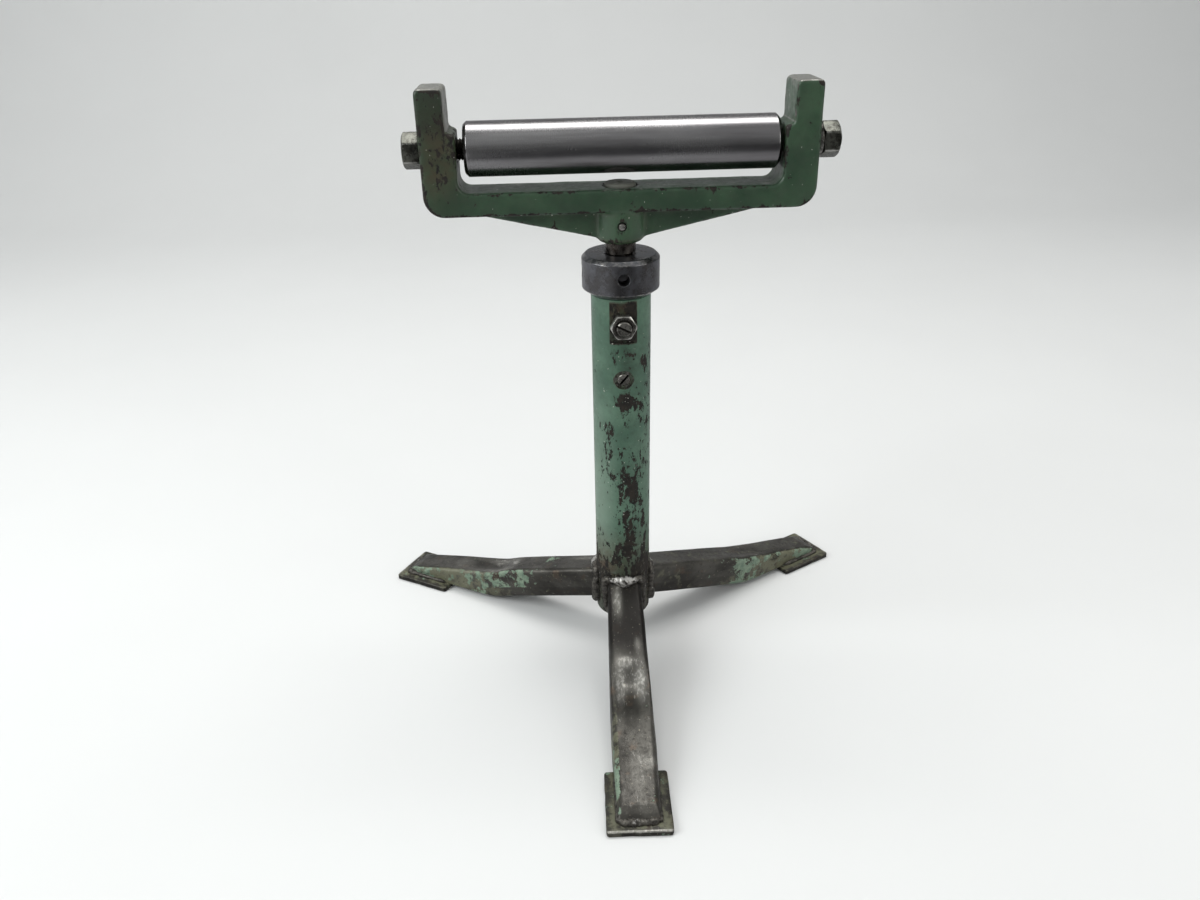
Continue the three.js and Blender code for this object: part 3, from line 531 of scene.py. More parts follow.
def chipped_green_paint(name, light, dark):
    """Old enamel on steel: two greens in broad clouds, paler with a painted sheen where marked, flaked
    through to brown-black steel where marked bare, browned with oil where marked grimy, blackened where
    marked dark, rubbed to pale metal where marked worn, with pale specks."""
    material, tree, shader, place = new_finish(name)
    broad = cloud(tree, place, 24, 6, 0.6)
    fine = cloud(tree, place, 200, 8, 0.65)
    colour = tint(tree, rise(tree, broad, 0.35, 0.65), dark, light)
    colour = tint(tree, rise(tree, fine, 0.4, 0.75, 0.0, 0.4), colour, shade(50, 66, 54))
    pale = tint(tree, broad, shade(112, 134, 118), shade(136, 154, 140))
    # Painted sheen: paler where marked, as where light falls.
    colour = tint(tree, wear(tree, "painted_sheen"), colour, pale)
    grimy = sum_of(tree, wear(tree, "grime"), rise(tree, broad, 0.3, 0.7, 0.5, 1.1), "MULTIPLY")
    grimy = sum_of(tree, grimy, rise(tree, fine, 0.3, 0.6, 0.6, 1.0), "MULTIPLY")
    colour = tint(tree, grimy, colour, shade(74, 58, 40))
    sooty = sum_of(tree, wear(tree, "soot_and_shade"), rise(tree, fine, 0.3, 0.6, 0.7, 1.0), "MULTIPLY")
    colour = tint(tree, sooty, colour, shade(32, 35, 29))
    large = cloud(tree, place, 95, 12, 0.72, stretch=(1, 1, 0.45), shift=17.2)
    small = cloud(tree, place, 230, 9, 0.66, stretch=(1, 1, 0.6), shift=6.6)
    bare = wear(tree, "bare")
    large = sum_of(tree, large, sum_of(tree, bare, 0.17, "MULTIPLY"))
    small = sum_of(tree, small, sum_of(tree, bare, 0.18, "MULTIPLY"))
    chips = sum_of(tree, rise(tree, large, 0.672, 0.684), rise(tree, small, 0.7, 0.712), "MAXIMUM")
    metal = tint(tree, rise(tree, fine, 0.35, 0.65), shade(20, 17, 14), shade(46, 40, 33))
    colour = tint(tree, chips, colour, metal)
    worn = sum_of(tree, wear(tree, "worn"), cloud(tree, place, 90, 8, 0.68, shift=4.6))
    worn = rise(tree, worn, 0.86, 1.16)
    brushed = cloud(tree, place, 110, 6, 0.7, stretch=(3, 3, 0.6))
    steel = tint(tree, brushed, shade(84, 84, 78), shade(176, 176, 170))
    colour = tint(tree, worn, colour, steel)
    specks = rise(tree, cloud(tree, place, 520, 2, 0.4, shift=6.3), 0.745, 0.765, 0.0, 0.8)
    colour = tint(tree, specks, colour, shade(206, 206, 196))
    tree.links.new(colour, shader.inputs["Base Color"])
    metallic = sum_of(tree, rise(tree, chips, 0, 1, 0, 0.15), rise(tree, worn, 0, 1, 0, 0.6), "MAXIMUM")
    tree.links.new(metallic, shader.inputs["Metallic"])
    rough = sum_of(tree, rise(tree, fine, 0.3, 0.7, 0.3, 0.42), rise(tree, chips, 0, 1, 0, 0.36))
    tree.links.new(rough, shader.inputs["Roughness"])
    peel = relief(tree, shader, cloud(tree, place, 300, 3), 0.0003, 0.22)
    relief(tree, shader, rise(tree, chips, 0, 1, 1, 0), 0.00035, 0.9, peel)
    return material


column_green = chipped_green_paint("column_enamel", shade(85, 117, 97), shade(64, 96, 78))
column = skin("column_pipe", column_shell(), loop=True)
x, y, z = points_of(column).T
x, front, z = x / mm, (column_y - y) / mm, z / mm
on_front = np.clip(front / 12, 0, 1)
patch = 1.38 * bell(x, 4, 10) * bell(z, 156, 46) * on_front
cluster = 1.25 * bell(x, 1, 10) * bell(z, 247, 9) * on_front
right_edge = 0.42 * np.clip((x - 8) / 8, 0, 1) * bell(z, 225, 75)
left_flecks = 0.8 * bell(x, -13, 6) * bell(z, 203, 28) * on_front
top_flecks = 0.34 * np.clip((x - 12) / 6, 0, 1) * bell(z, 285, 30)
by_screw = 0.64 * bell(x, 4, 9) * bell(z, 288, 8) * on_front
foot = 1.2 * np.clip((130 - z) / 58, 0, 1) ** 1.2
back = 0.5 * np.clip(-front / 15, 0, 1) * bell(z, 160, 80)
flat = 1.5 * ((z > 297) & (z < 332) & (front > 10) & (np.abs(x) < 10.9))
spot = 1.5 * ((front > 15) & (np.hypot(x, z - spot_face_level / mm) < 8.2))
front_chips = patch + cluster + right_edge + left_flecks + top_flecks + by_screw
mark(column, "bare", front_chips + foot + back + flat + spot + 0.16)
# The foot is darkened, more towards the bottom.
mark(column, "grime", np.clip((128 - z) / 45, 0, 1) + flat + 0.55 * spot)
stain = 0.45 * bell(x, 3, 9) * bell(z, 281, 24) * on_front
mark(column, "soot_and_shade", 0.55 * np.clip((100 - z) / 40, 0, 1) + 0.3 * flat + stain)
mark(column, "worn", 0.1 * flat + 0.26 * spot)
# Painted sheen: paler low down on the left side, where light from the left falls.
mark(column, "painted_sheen", 0.65 * np.clip((270 - z) / 110, 0, 1) * np.clip((-4 - x) / 15, 0.12, 1))
fixed(column, column_green, "base", "column_paint", "column_tube")


# Screws in the column
# A slotted dog-point screw runs in the spindle's keyway and is held by a thin lock nut on the
# flat. A shorter slotted screw below it holds the guide bush. Plain grey steel.

nut_flats, nut_thickness, nut_seat, screw_level = 19 * mm, 7 * mm, 21.95 * mm, 312.5 * mm


def hexagon_rings(flats, low, high, bore, chamfer_low, chamfer_high):
    """Hexagon along z as rings: up its sides and over its ends to the bore, or to the middle
    where there is no bore. The radius is the distance to the nearest flat divided by the
    cosine of the angle from it, with blunted corners, and a 30 degree cone turns the corners
    down at the ends."""
    angle = np.linspace(0, 2 * np.pi, 96, endpoint=False)
    from_flat = (angle + np.pi / 6) % (np.pi / 3) - np.pi / 6
    side = np.minimum(flats / 2 / np.cos(from_flat), 0.565 * flats)
    face = 0.475 * flats
    drop = (side - face) * math.tan(math.pi / 6)
    lip = 0.35 * mm
    inner = max(bore, 0.2 * mm)
    under = drop if chamfer_low else 0 * drop + 0.2 * mm
    over = drop if chamfer_high else 0 * drop + 0.2 * mm
    rows = [
        (inner + 0 * side, low + 0 * side),
        (face + 0 * side, low + 0 * side),
        (side - lip * 0.3, low + under * 0.92),
        (side, low + under + lip),
        (side, high - over - lip),
        (side - lip * 0.3, high - over * 0.92),
        (face + 0 * side, high + 0 * side),
        (inner + lip + 0 * side, high + 0 * side),
        (inner + 0 * side, high - lip + 0 * side),
    ]
    radius = np.array([row[0] for row in rows])
    level = np.array([row[1] for row in rows])
    return np.stack([radius * np.cos(angle), radius * np.sin(angle), level], axis=-1)


def slotted_end(radius, low, high, slot_turn):
    """Round screw along z with a sawn slot across its end. Each slice across the slot's width
    is a closed loop: the chord of the circle along the bottom, up, back along the top, which
    drops to the slot's floor between its walls, and down."""
    slot, depth, chamfer = 0.9 * mm, 2 * mm, 0.8 * mm
    rim = radius * np.sin(np.linspace(-np.pi / 2, np.pi / 2, 41))
    walls = np.array([-slot - 0.02 * mm, -slot, slot, slot + 0.02 * mm])
    across = np.unique(np.concatenate([rim[1:-1], walls, [-radius * 0.9995, radius * 0.9995]]))
    chord = np.sqrt(radius**2 - across**2)[:, None]
    share = np.linspace(-1, 1, 25)
    inside = np.sqrt(np.maximum((radius - chamfer) ** 2 - across[:, None] ** 2, 0))
    inside = np.clip(inside, 0.05 * chord, chord)
    top = np.where(np.abs(across) <= slot * 1.001, high - depth, high)[:, None] + 0 * share
    beyond = np.maximum(np.abs(across)[:, None] - (radius - chamfer), 0)
    top = top - beyond
    floor = np.full_like(top, low)
    side_top = top[:, :1] - np.where(top[:, :1] > high - depth / 2, chamfer - beyond, 0)
    x = np.concatenate([chord * share, chord, inside * share[::-1], -chord], axis=1)
    z = np.concatenate([floor, side_top, top, side_top], axis=1)
    y = np.repeat(across[:, None], x.shape[1], axis=1)
    turn = math.radians(slot_turn)
    right = x * math.cos(turn) - y * math.sin(turn)
    up = x * math.sin(turn) + y * math.cos(turn)
    return np.stack([right, up, z], axis=-1)


def towards_front(rings, level):
    """A form drawn along z from the column's axis, laid towards the front at a level."""
    x, y, z = np.moveaxis(rings, -1, 0)
    return np.stack([x, column_y - z, y + level], axis=-1)


def dull_steel(name, dark, light):
    """Dull fastener steel: two greys in clouds with dark grime, bright on the rubbed edges."""
    material, tree, shader, place = new_finish(name)
    broad = cloud(tree, place, 90, 6, 0.65)
    fine = cloud(tree, place, 420, 5, 0.65)
    colour = tint(tree, rise(tree, broad, 0.35, 0.65), dark, light)
    specks = rise(tree, fine, 0.45, 0.7, 0, 0.8)
    grime = sum_of(tree, specks, rise(tree, wear(tree, "grime"), 0, 1, 0, 0.9), "MAXIMUM")
    colour = tint(tree, grime, colour, shade(38, 34, 30))
    bright = rise(tree, sum_of(tree, wear(tree, "rub_and_sheen"), broad), 0.95, 1.25)
    colour = tint(tree, bright, colour, shade(186, 185, 180))
    tree.links.new(colour, shader.inputs["Base Color"])
    shader.inputs["Metallic"].default_value = 0.85
    tree.links.new(rise(tree, broad, 0.3, 0.7, 0.2, 0.36), shader.inputs["Roughness"])
    relief(tree, shader, fine, 0.0002, 0.5)
    return material


screw_steel = dull_steel("grey_screw_steel", shade(98, 96, 91), shade(148, 146, 140))
nut = hexagon_rings(nut_flats, nut_seat, nut_seat + nut_thickness, 6.2 * mm, False, True)
nut = np.stack([-nut[..., 1], nut[..., 0], nut[..., 2]], axis=-1)
piece = skin("lock_nut", towards_front(nut, screw_level), loop=True, crease=25)
x, y, z = points_of(piece).T
from_axis = np.hypot(x, z - screw_level)
mark(piece, "rub_and_sheen", np.clip((from_axis - 8.7 * mm) / (0.8 * mm), 0, 1) * (column_y - y > 26 * mm))
mark(piece, "grime", 0.8 * (from_axis < 6.6 * mm) + 0.8 * (column_y - y < 22.4 * mm))
fixed(piece, screw_steel, "base", "screw_steel", "guide_lock_nut")

screws = (
    ("upper_screw", "guide_screw", screw_level, 6 * mm, 12.6 * mm, 31.95 * mm, -27),
    ("lower_screw", "bush_screw", spot_face_level, 5 * mm, 14.85 * mm, 24.15 * mm, 49),
)
for name, node, level, radius, point, face, slot_turn in screws:
    rings = slotted_end(radius, point, face, slot_turn)
    piece = skin(name, towards_front(rings, level), crease=30)
    x, y, z = points_of(piece).T
    sunk = face - (column_y - y)
    mark(piece, "grime", np.where(sunk > 1.2 * mm, 1.0, 0.25))
    mark(piece, "rub_and_sheen", 0.4 * (sunk < 0.9 * mm) * np.clip(np.hypot(x, z - level) / (6 * mm), 0, 1))
    fixed(piece, screw_steel, "base", "screw_steel", node)


# Guide bush
# A plain bronze sleeve inside the top of the column, which the spindle slides in. Only its
# upper edge can ever be seen, so the solid itself keeps its place and gets the finish.


def oiled_bronze():
    """Bearing bronze: warm metal in soft clouds, darkened by oil, with fine turning marks."""
    material, tree, shader, place = new_finish("oiled_bronze")
    broad = cloud(tree, place, 70, 5)
    colour = tint(tree, rise(tree, broad, 0.35, 0.65), shade(96, 70, 38), shade(152, 116, 66))
    tree.links.new(colour, shader.inputs["Base Color"])
    shader.inputs["Metallic"].default_value = 0.9
    tree.links.new(rise(tree, broad, 0.3, 0.7, 0.3, 0.45), shader.inputs["Roughness"])
    relief(tree, shader, cloud(tree, place, 900, 2), 0.0001, 0.4)
    return material


bronze = oiled_bronze()
for name in ("guide_bush", "roller_bush_left", "roller_bush_right"):
    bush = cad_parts[name]
    bush.data.materials.clear()
    bush.data.materials.append(bronze)


# Ring nut
# The nut that lifts the head: a turned steel ring, blackened, standing on the column's top
# and carrying the spindle's thread. Four blind holes take a tommy bar.

nut_low, nut_high, nut_radius, nut_bore = 334.3 * mm, 365.8 * mm, 31 * mm, 12.15 * mm
hole_level, hole_radius, hole_depth = 351.8 * mm, 4.75 * mm, 14 * mm


def rounded_profile(corners, steps=4):
    """Turned profile through corners of radius, height and rounding: each corner gives way to
    a parabola between the points that lie the rounding away on its two sides."""
    spots = np.array(corners)
    here, size = spots[1:-1, :2], spots[1:-1, 2:]
    before, after = spots[:-2, :2] - here, spots[2:, :2] - here
    before = here + before / np.linalg.norm(before, axis=1, keepdims=True) * size
    after = here + after / np.linalg.norm(after, axis=1, keepdims=True) * size
    t = np.linspace(0, 1, steps + 1)[None, :, None]
    curve = (1 - t) ** 2 * before[:, None] + 2 * t * (1 - t) * here[:, None] + t**2 * after[:, None]
    return np.vstack([spots[:1, :2], curve.reshape(-1, 2), spots[-1:, :2]])


def ring_nut_shell():
    """Ring as one loop of rings: the profile of foot, wall, chamfer, top and bore turned about
    the axis. Round each tommy hole the grid is drawn in to circles and sunk along the hole."""
    about = np.array([0, 1.6, 3.2, 4.5, 4.7, 4.75, 5.1, 5.6, 6.6, 8]) * mm
    quarter = nut_radius * np.pi / 2
    middles = quarter * np.array([-1.0, 0, 1])
    arc = lines_about(middles, about, -1.5 * quarter, 1.5 * quarter, 1.7 * mm)
    last = lines_about([2 * quarter], about, 1.5 * quarter, 2.5 * quarter, 1.7 * mm)
    arc = np.concatenate([arc[:-1], last[:-1]])
    wall = lines_about([hole_level], about, nut_low + 5.2 * mm, nut_high - 3.7 * mm, 1.7 * mm)
    a, b = np.meshgrid(arc, wall - hole_level)
    middle = np.round(a / quarter) * quarter
    near, b, q = drawn_round(a - middle, b, hole_radius, 8 * mm)
    steps = np.array([0, 4.7, 4.75, 5.1]) * mm
    sunk = np.interp(q, steps, [hole_depth + 1.4 * mm, hole_depth, 0.35 * mm, 0])
    turn, aim = (middle + near) / nut_radius, middle / nut_radius
    x = nut_radius * np.sin(turn) - sunk * np.sin(aim)
    front = nut_radius * np.cos(turn) - sunk * np.cos(aim)
    outside = np.stack([x, column_y - front, b + hole_level], axis=-1)
    wide, bore, low, high = np.array([nut_radius, nut_bore, nut_low, nut_high]) / mm
    crown = [(wide, high - 3.7, 0), (wide, high - 3, 0.6), (wide - 3, high, 0.7)]
    crown += [(bore + 0.85, high, 0.5), (bore, high - 0.8, 0.3), (bore, 350, 0)]
    foot = [(bore, 345, 0), (bore, low, 0.3), (24.6, low, 0.6)]
    foot += [(wide, low + 4.5, 0.6), (wide, low + 5.2, 0)]
    profile = np.vstack([rounded_profile(crown)[1:], rounded_profile(foot)[:-1]]) * mm
    angle = arc / nut_radius
    radius, level = profile[:, :1], profile[:, 1:]
    x, y = radius * np.sin(angle), column_y - radius * np.cos(angle)
    rest = np.stack([x, y, level + 0 * angle], axis=-1)
    return np.concatenate([outside, rest])


def blackened_steel():
    """Turned steel blackened with oil: near-black with blue-grey clouds, fine turning rings,
    brown grime, and bare grey on the rubbed edges."""
    material, tree, shader, place = new_finish("blackened_steel")
    broad = cloud(tree, place, 55, 6, 0.65)
    fine = cloud(tree, place, 260, 6, 0.7)
    colour = tint(tree, rise(tree, broad, 0.35, 0.65), shade(78, 77, 78), shade(104, 105, 110))
    colour = tint(tree, rise(tree, fine, 0.52, 0.7, 0, 0.6), colour, shade(56, 48, 41))
    rubbed_and_sheen = rise(tree, sum_of(tree, wear(tree, "rub_and_sheen"), fine), 0.9, 1.2)
    colour = tint(tree, rubbed_and_sheen, colour, shade(158, 156, 154))
    tree.links.new(colour, shader.inputs["Base Color"])
    shader.inputs["Metallic"].default_value = 0.88
    tree.links.new(rise(tree, broad, 0.3, 0.7, 0.24, 0.36), shader.inputs["Roughness"])
    rings = cloud(tree, place, 60, 4, stretch=(1, 1, 22))
    turning = relief(tree, shader, rings, 0.0001, 0.2)
    relief(tree, shader, fine, 0.0002, 0.2, turning)
    return material


black_steel = blackened_steel()
ring_nut = skin("ring_nut_body", ring_nut_shell(), loop=True, crease=35)
x, y, z = points_of(ring_nut).T
from_axis = np.hypot(x, y - column_y)
top_edge = bell(from_axis / mm, 29.5, 2.4) * (z > 361 * mm)
foot_edge = bell(z / mm, 338.8, 1.2) * (from_axis > 28 * mm)
mark(ring_nut, "rub_and_sheen", 0.6 * top_edge + 0.55 * foot_edge)
fixed(ring_nut, black_steel, "ring_nut", "black_steel", "ring_nut")


# Spindle
# A 24 mm lifting screw with a trapezoidal thread of 5 mm pitch and a keyway down its front,
# where the dog point keeps it from turning. Oily, with a plain neck and end in the yoke.

spindle_low, spindle_high, spindle_radius = 165.3 * mm, 420.3 * mm, 12 * mm
thread_pitch, thread_depth, thread_top = 5 * mm, 2.2 * mm, 368 * mm
key_low, key_high, key_half, key_floor = 185.3 * mm, 327.7 * mm, 3.5 * mm, 8 * mm


def spindle_shell():
    """Screw over angle and height: the radius drops from crest to root and back by a trapezium
    of the height less the angle's share of the pitch. The keyway is cut to a flat floor."""
    key_turn = math.asin(key_half / spindle_radius)
    near_key = np.array([0, 0.1, 0.2, key_turn - 0.002, key_turn])
    turn = lines_about([0.0], near_key, -np.pi, np.pi, 0.075)[:-1]
    ends = np.array([0, 0.15, 0.6, 1.5])
    level = np.arange(spindle_low + 1.5 * mm, spindle_high - 1.6 * mm, 0.42 * mm)
    key_ends = [key_low - 0.02 * mm, key_low, key_high, key_high + 0.02 * mm]
    level = np.unique(np.concatenate([level, key_ends]).round(7))
    phase = (level[:, None] / thread_pitch - turn / (2 * np.pi)) % 1
    flank = np.clip((np.abs(phase - 0.5) - 0.16) / 0.16, 0, 1)
    threaded = np.clip((thread_top - level) / (2 * mm), 0, 1)[:, None]
    radius = spindle_radius - thread_depth * flank * threaded
    in_key = ((level >= key_low) & (level <= key_high))[:, None] & (np.abs(turn) < key_turn - 0.001)
    x, front = radius * np.sin(turn), radius * np.cos(turn)
    front = np.where(in_key, np.minimum(front, key_floor), front)
    body = np.stack([x, column_y - front, level[:, None] + 0 * turn], axis=-1)

    def end(heights, radii):
        """Rings about the axis at the heights, as wide as the radii."""
        r, h = radii[:, None], heights[:, None]
        return np.stack([r * np.sin(turn), column_y - r * np.cos(turn), h + 0 * turn], axis=-1)

    foot = end(spindle_low + ends[:-1] * mm, spindle_radius - thread_depth - (1.5 - ends[:-1]) * mm)
    head = end(spindle_high - ends[::-1] * mm, spindle_radius - np.array([0, 0.4, 0.9, 1.5]) * mm)
    dimple = end(spindle_high - np.array([0, 0, 1.8]) * mm, np.array([6, 2.6, 0.5]) * mm)
    return np.concatenate([foot, body, head, dimple])


def oily_thread_steel():
    """Dark oiled steel: brown-black in the thread's roots, a dull shine on its crests, and grey
    dirt where marked grimy."""
    material, tree, shader, place = new_finish("oily_thread_steel")
    fine = cloud(tree, place, 160, 6, 0.65)
    colour = tint(tree, rise(tree, fine, 0.35, 0.65), shade(44, 38, 33), shade(92, 88, 84))
    crest_highlight = rise(tree, sum_of(tree, wear(tree, "rub_and_sheen"), fine), 0.95, 1.3)
    colour = tint(tree, crest_highlight, colour, shade(150, 148, 146))
    dirt = sum_of(tree, wear(tree, "grime"), rise(tree, fine, 0.3, 0.6, 0.75, 1.0), "MULTIPLY")
    colour = tint(tree, dirt, colour, shade(112, 114, 106))
    tree.links.new(colour, shader.inputs["Base Color"])
    tree.links.new(rise(tree, dirt, 0, 1, 0.9, 0.1), shader.inputs["Metallic"])
    rough = sum_of(tree, rise(tree, fine, 0.3, 0.7, 0.2, 0.4), rise(tree, dirt, 0, 1, 0, 0.35))
    tree.links.new(rough, shader.inputs["Roughness"])
    relief(tree, shader, fine, 0.0002, 0.4)
    return material


thread_steel = oily_thread_steel()
spindle = skin("lifting_screw", spindle_shell(), crease=35)
x, y, z = points_of(spindle).T
from_axis = np.hypot(x, y - column_y)
mark(spindle, "rub_and_sheen", 0.7 * (from_axis > 11.6 * mm) * (z < 366 * mm))
mark(spindle, "grime", 1.0 * (z > 417.5 * mm))
fixed(spindle, thread_steel, "head", "black_steel", "spindle")


# Yoke
# A grey iron casting: beam, two arms with thinner horns, a boss with a rib to each side. The
# sand left its skin uneven and its edges round. Green paint, worn off the tops and edges.

yoke_voxel = 1.25 * mm


def cast_copy(node, voxel, passes):
    """Copy of a solid with its corners merged, rebuilt on an even grid of voxels and smoothed,
    which rounds its edges and fills its inner corners as a casting does."""
    mesh = node.data.copy()
    work = bmesh.new()
    work.from_mesh(mesh)
    bmesh.ops.remove_doubles(work, verts=work.verts, dist=0.01 * mm)
    work.to_mesh(mesh)
    work.free()
    rough = bpy.data.objects.new("rough_casting", mesh)
    bpy.context.collection.objects.link(rough)
    grid = rough.modifiers.new("grid", "REMESH")
    grid.mode = "VOXEL"
    grid.voxel_size = voxel
    ease = rough.modifiers.new("ease", "SMOOTH")
    ease.factor = 0.5
    ease.iterations = passes
    shape = rough.evaluated_get(bpy.context.evaluated_depsgraph_get())
    cast = bpy.data.meshes.new_from_object(shape)
    bpy.data.objects.remove(rough)
    bpy.data.meshes.remove(mesh)
    cast.materials.clear()
    cast.shade_smooth()
    piece = bpy.data.objects.new("yoke_casting", cast)
    bpy.context.collection.objects.link(piece)
    return piece


def neighbour_mean(ends, values):
    """Mean of each corner's neighbours, summed over the two ends of every edge."""
    total = np.zeros_like(values)
    np.add.at(total, ends[:, 0], values[ends[:, 1]])
    np.add.at(total, ends[:, 1], values[ends[:, 0]])
    count = np.bincount(ends.ravel(), minlength=len(values))
    return total / count.reshape(-1, *[1] * (values.ndim - 1))


yoke = cast_copy(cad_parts["yoke"], yoke_voxel, 5)
spots = points_of(yoke)
faces_out = np.empty(spots.size)
yoke.data.vertices.foreach_get("normal", faces_out)
faces_out = faces_out.reshape(-1, 3)
skin_height = 0.16 * lumps(spots, 14 * mm, 71) + 0.07 * lumps(spots, 4 * mm, 72) - 0.25
yoke.data.vertices.foreach_set("co", (spots + faces_out * (skin_height * mm)[:, None]).ravel())
yoke.data.update()
ends = np.empty(2 * len(yoke.data.edges), dtype=np.int32)
yoke.data.edges.foreach_get("vertices", ends)
ends = ends.reshape(-1, 2)
sharp = ((spots - neighbour_mean(ends, spots)) * faces_out).sum(axis=1) / yoke_voxel
sharp = neighbour_mean(ends, neighbour_mean(ends, sharp))
x, y, z = spots.T
x, y, z = x / mm, (y - column_y) / mm, z / mm
upward, inward = faces_out[:, 2], -faces_out[:, 0] * np.sign(x)
tops = (upward > 0.7) * (z > 470) + 0.42 * (upward > 0.8) * (z > 414) * (np.abs(x) < 122)
horn_sides = (inward > 0.7) * (z > 463) + 0.5 * (upward > 0.3) * (np.abs(x) < 128) * (z > 452) * (z < 470)
edge_rub = np.clip(14 * sharp - 0.12, 0, 1)
mark(yoke, "worn", 0.8 * tops + np.where(x < 0, 0.6, 0.42) * horn_sides + 0.06 * edge_rub)
left_arm = bell(x, -133, 8) * bell(z, 440, 26)
left_stain = bell(x, -134, 15) * bell(z, 447, 34)
left_horn = (x < -125) * np.clip((z - 455) / 12, 0, 1)
right_edge = 0.35 * bell(x, 121, 5) * bell(z, 440, 22)
beam_low = 0.35 * bell(z, 401, 3) * (np.abs(x) < 125)
by_pin = 0.35 * bell(x, 13, 10) * bell(z, 405, 6) * (y < 0)
left_edge = 0.5 * bell(x, -147, 3)
edge_chips = (0.85 + 0.4 * (x < -120)) * edge_rub + left_edge + right_edge
mark(yoke, "bare", edge_chips + 0.85 * left_arm + 0.25 * left_horn + beam_low + by_pin + 0.14)
# Also darker in the inner corners, where the casting curves in, and low on the boss.
mark(yoke, "grime", 0.8 * left_stain + 0.5 * np.clip(-6 * sharp, 0, 1) + 0.25 * (z < 380) + 0.1)
mark(yoke, "soot_and_shade", 0.55 * left_horn + 0.2 * left_stain)
mark(yoke, "painted_sheen", 0 * x)
casting_green = chipped_green_paint("casting_enamel", shade(58, 86, 64), shade(42, 66, 49))
fixed(yoke, casting_green, "head", "cast_green", "yoke")


# Cross pin
# A 6 mm steel pin driven through the boss and the spindle, its front end hammered over into a
# low, bright dome with a rim.

pin_level = 389.8 * mm


def pin_shell():
    """Turned profile of the pin's length with a domed head at each end."""
    dome = np.array([[0.3, -19.1], [1.4, -19], [2.1, -18.8], [2.4, -18.3], [3, -18.3]])
    profile = np.vstack([dome, dome[::-1] * (1, -1)]) * mm
    angle = np.linspace(0, 2 * np.pi, 40, endpoint=False)
    radius, along = profile[:, :1], profile[:, 1:]
    x, z = radius * np.cos(angle), pin_level + radius * np.sin(angle)
    return np.stack([x, column_y + along + 0 * angle, z], axis=-1)


pin = skin("cross_pin", pin_shell())
x, y, z = points_of(pin).T
from_axis = np.hypot(x, z - pin_level)
mark(pin, "rub_and_sheen", 0.62 * (from_axis < 2.6 * mm))
mark(pin, "grime", 0.8 * (from_axis > 2.7 * mm))
fixed(pin, screw_steel, "head", "screw_steel", "yoke_pin")


# Roller
# A 40 mm steel tube, turned and ground bright, with a chamfer at each end and a plain bush
# pressed into each end of its bore.

roller_level, roller_left, roller_right = 447.3 * mm, -115.7 * mm, 119.3 * mm
roller_radius, roller_bore, roller_chamfer = 20 * mm, 14 * mm, 2.5 * mm


def roller_shell():
    """Tube as one loop of rings: the profile of chamfers, wall and bore turned about the axle."""
    left, right, bore = roller_left / mm, roller_right / mm, roller_bore / mm
    wide, chamfer = roller_radius / mm, roller_chamfer / mm
    narrow = wide - chamfer
    outside = [(bore, left, 0), (narrow, left, 0.3), (wide, left + chamfer, 0.4), (wide, left + 8, 0.2)]
    outside += [(wide, right - 8, 0.2), (wide, right - chamfer, 0.4)]
    outside += [(narrow, right, 0.3), (bore, right, 0)]
    profile = rounded_profile(outside) * mm
    angle = np.linspace(0, 2 * np.pi, 128, endpoint=False)
    radius, along = profile[:, :1], profile[:, 1:]
    y, z = column_y + radius * np.cos(angle), roller_level + radius * np.sin(angle)
    return np.stack([along + 0 * angle, y, z], axis=-1)


def ground_roller_steel():
    """Bright ground steel: long faint smears and hairlines along the roller, hair-fine rings from
    the wheel, a few dark nicks, and dirt on the chamfers."""
    material, tree, shader, place = new_finish("ground_steel")
    rings = cloud(tree, place, 60, 5, 0.7, stretch=(40, 1, 1))
    smears = cloud(tree, place, 40, 6, 0.6, stretch=(0.2, 1, 1))
    fine = cloud(tree, place, 300, 4)
    hairs = cloud(tree, place, 420, 4, 0.6, stretch=(0.03, 1, 1))
    colour = tint(tree, rise(tree, smears, 0.35, 0.68), shade(134, 132, 134), shade(158, 157, 158))
    colour = tint(tree, rise(tree, hairs, 0.4, 0.72, 0, 0.3), colour, shade(104, 100, 101))
    colour = tint(tree, rise(tree, rings, 0.4, 0.75, 0, 0.15), colour, shade(120, 119, 121))
    nicks = rise(tree, cloud(tree, place, 150, 3, stretch=(0.5, 1, 1), shift=3.7), 0.75, 0.78, 0, 0.5)
    colour = tint(tree, nicks, colour, shade(66, 63, 61))
    grime = rise(tree, sum_of(tree, wear(tree, "grime"), fine), 0.8, 1.3, 0, 0.9)
    colour = tint(tree, grime, colour, shade(40, 37, 36))
    tree.links.new(colour, shader.inputs["Base Color"])
    shader.inputs["Metallic"].default_value = 1.0
    rough = sum_of(tree, rise(tree, smears, 0.3, 0.7, 0.2, 0.27), rise(tree, rings, 0.35, 0.7, 0, 0.03))
    tree.links.new(rough, shader.inputs["Roughness"])
    relief(tree, shader, hairs, 0.00003, 0.2)
    return material


ground_steel = ground_roller_steel()
roller = skin("roller_body", roller_shell(), loop=True, crease=30)
x, y, z = points_of(roller).T
from_end = np.minimum(x - roller_left, roller_right - x)
mark(roller, "grime", 0.6 * (from_end < 2.4 * mm) + 0.1 * (from_end < 8.5 * mm))
fixed(roller, ground_steel, "roller", "ground_steel", "roller_tube")


# Axle
# A long M16 bolt through both arms and the roller, with its hexagon head on the left, and a
# spring washer and a nut on the right. Grey steel with grime in its thread.

axle_flats, axle_radius = 24 * mm, 8 * mm


def along_axle(rings):
    """A form drawn along z, laid along the roller's axle with its corners up and down."""
    x, y, z = np.moveaxis(rings, -1, 0)
    return np.stack([z, column_y + x, roller_level + y], axis=-1)


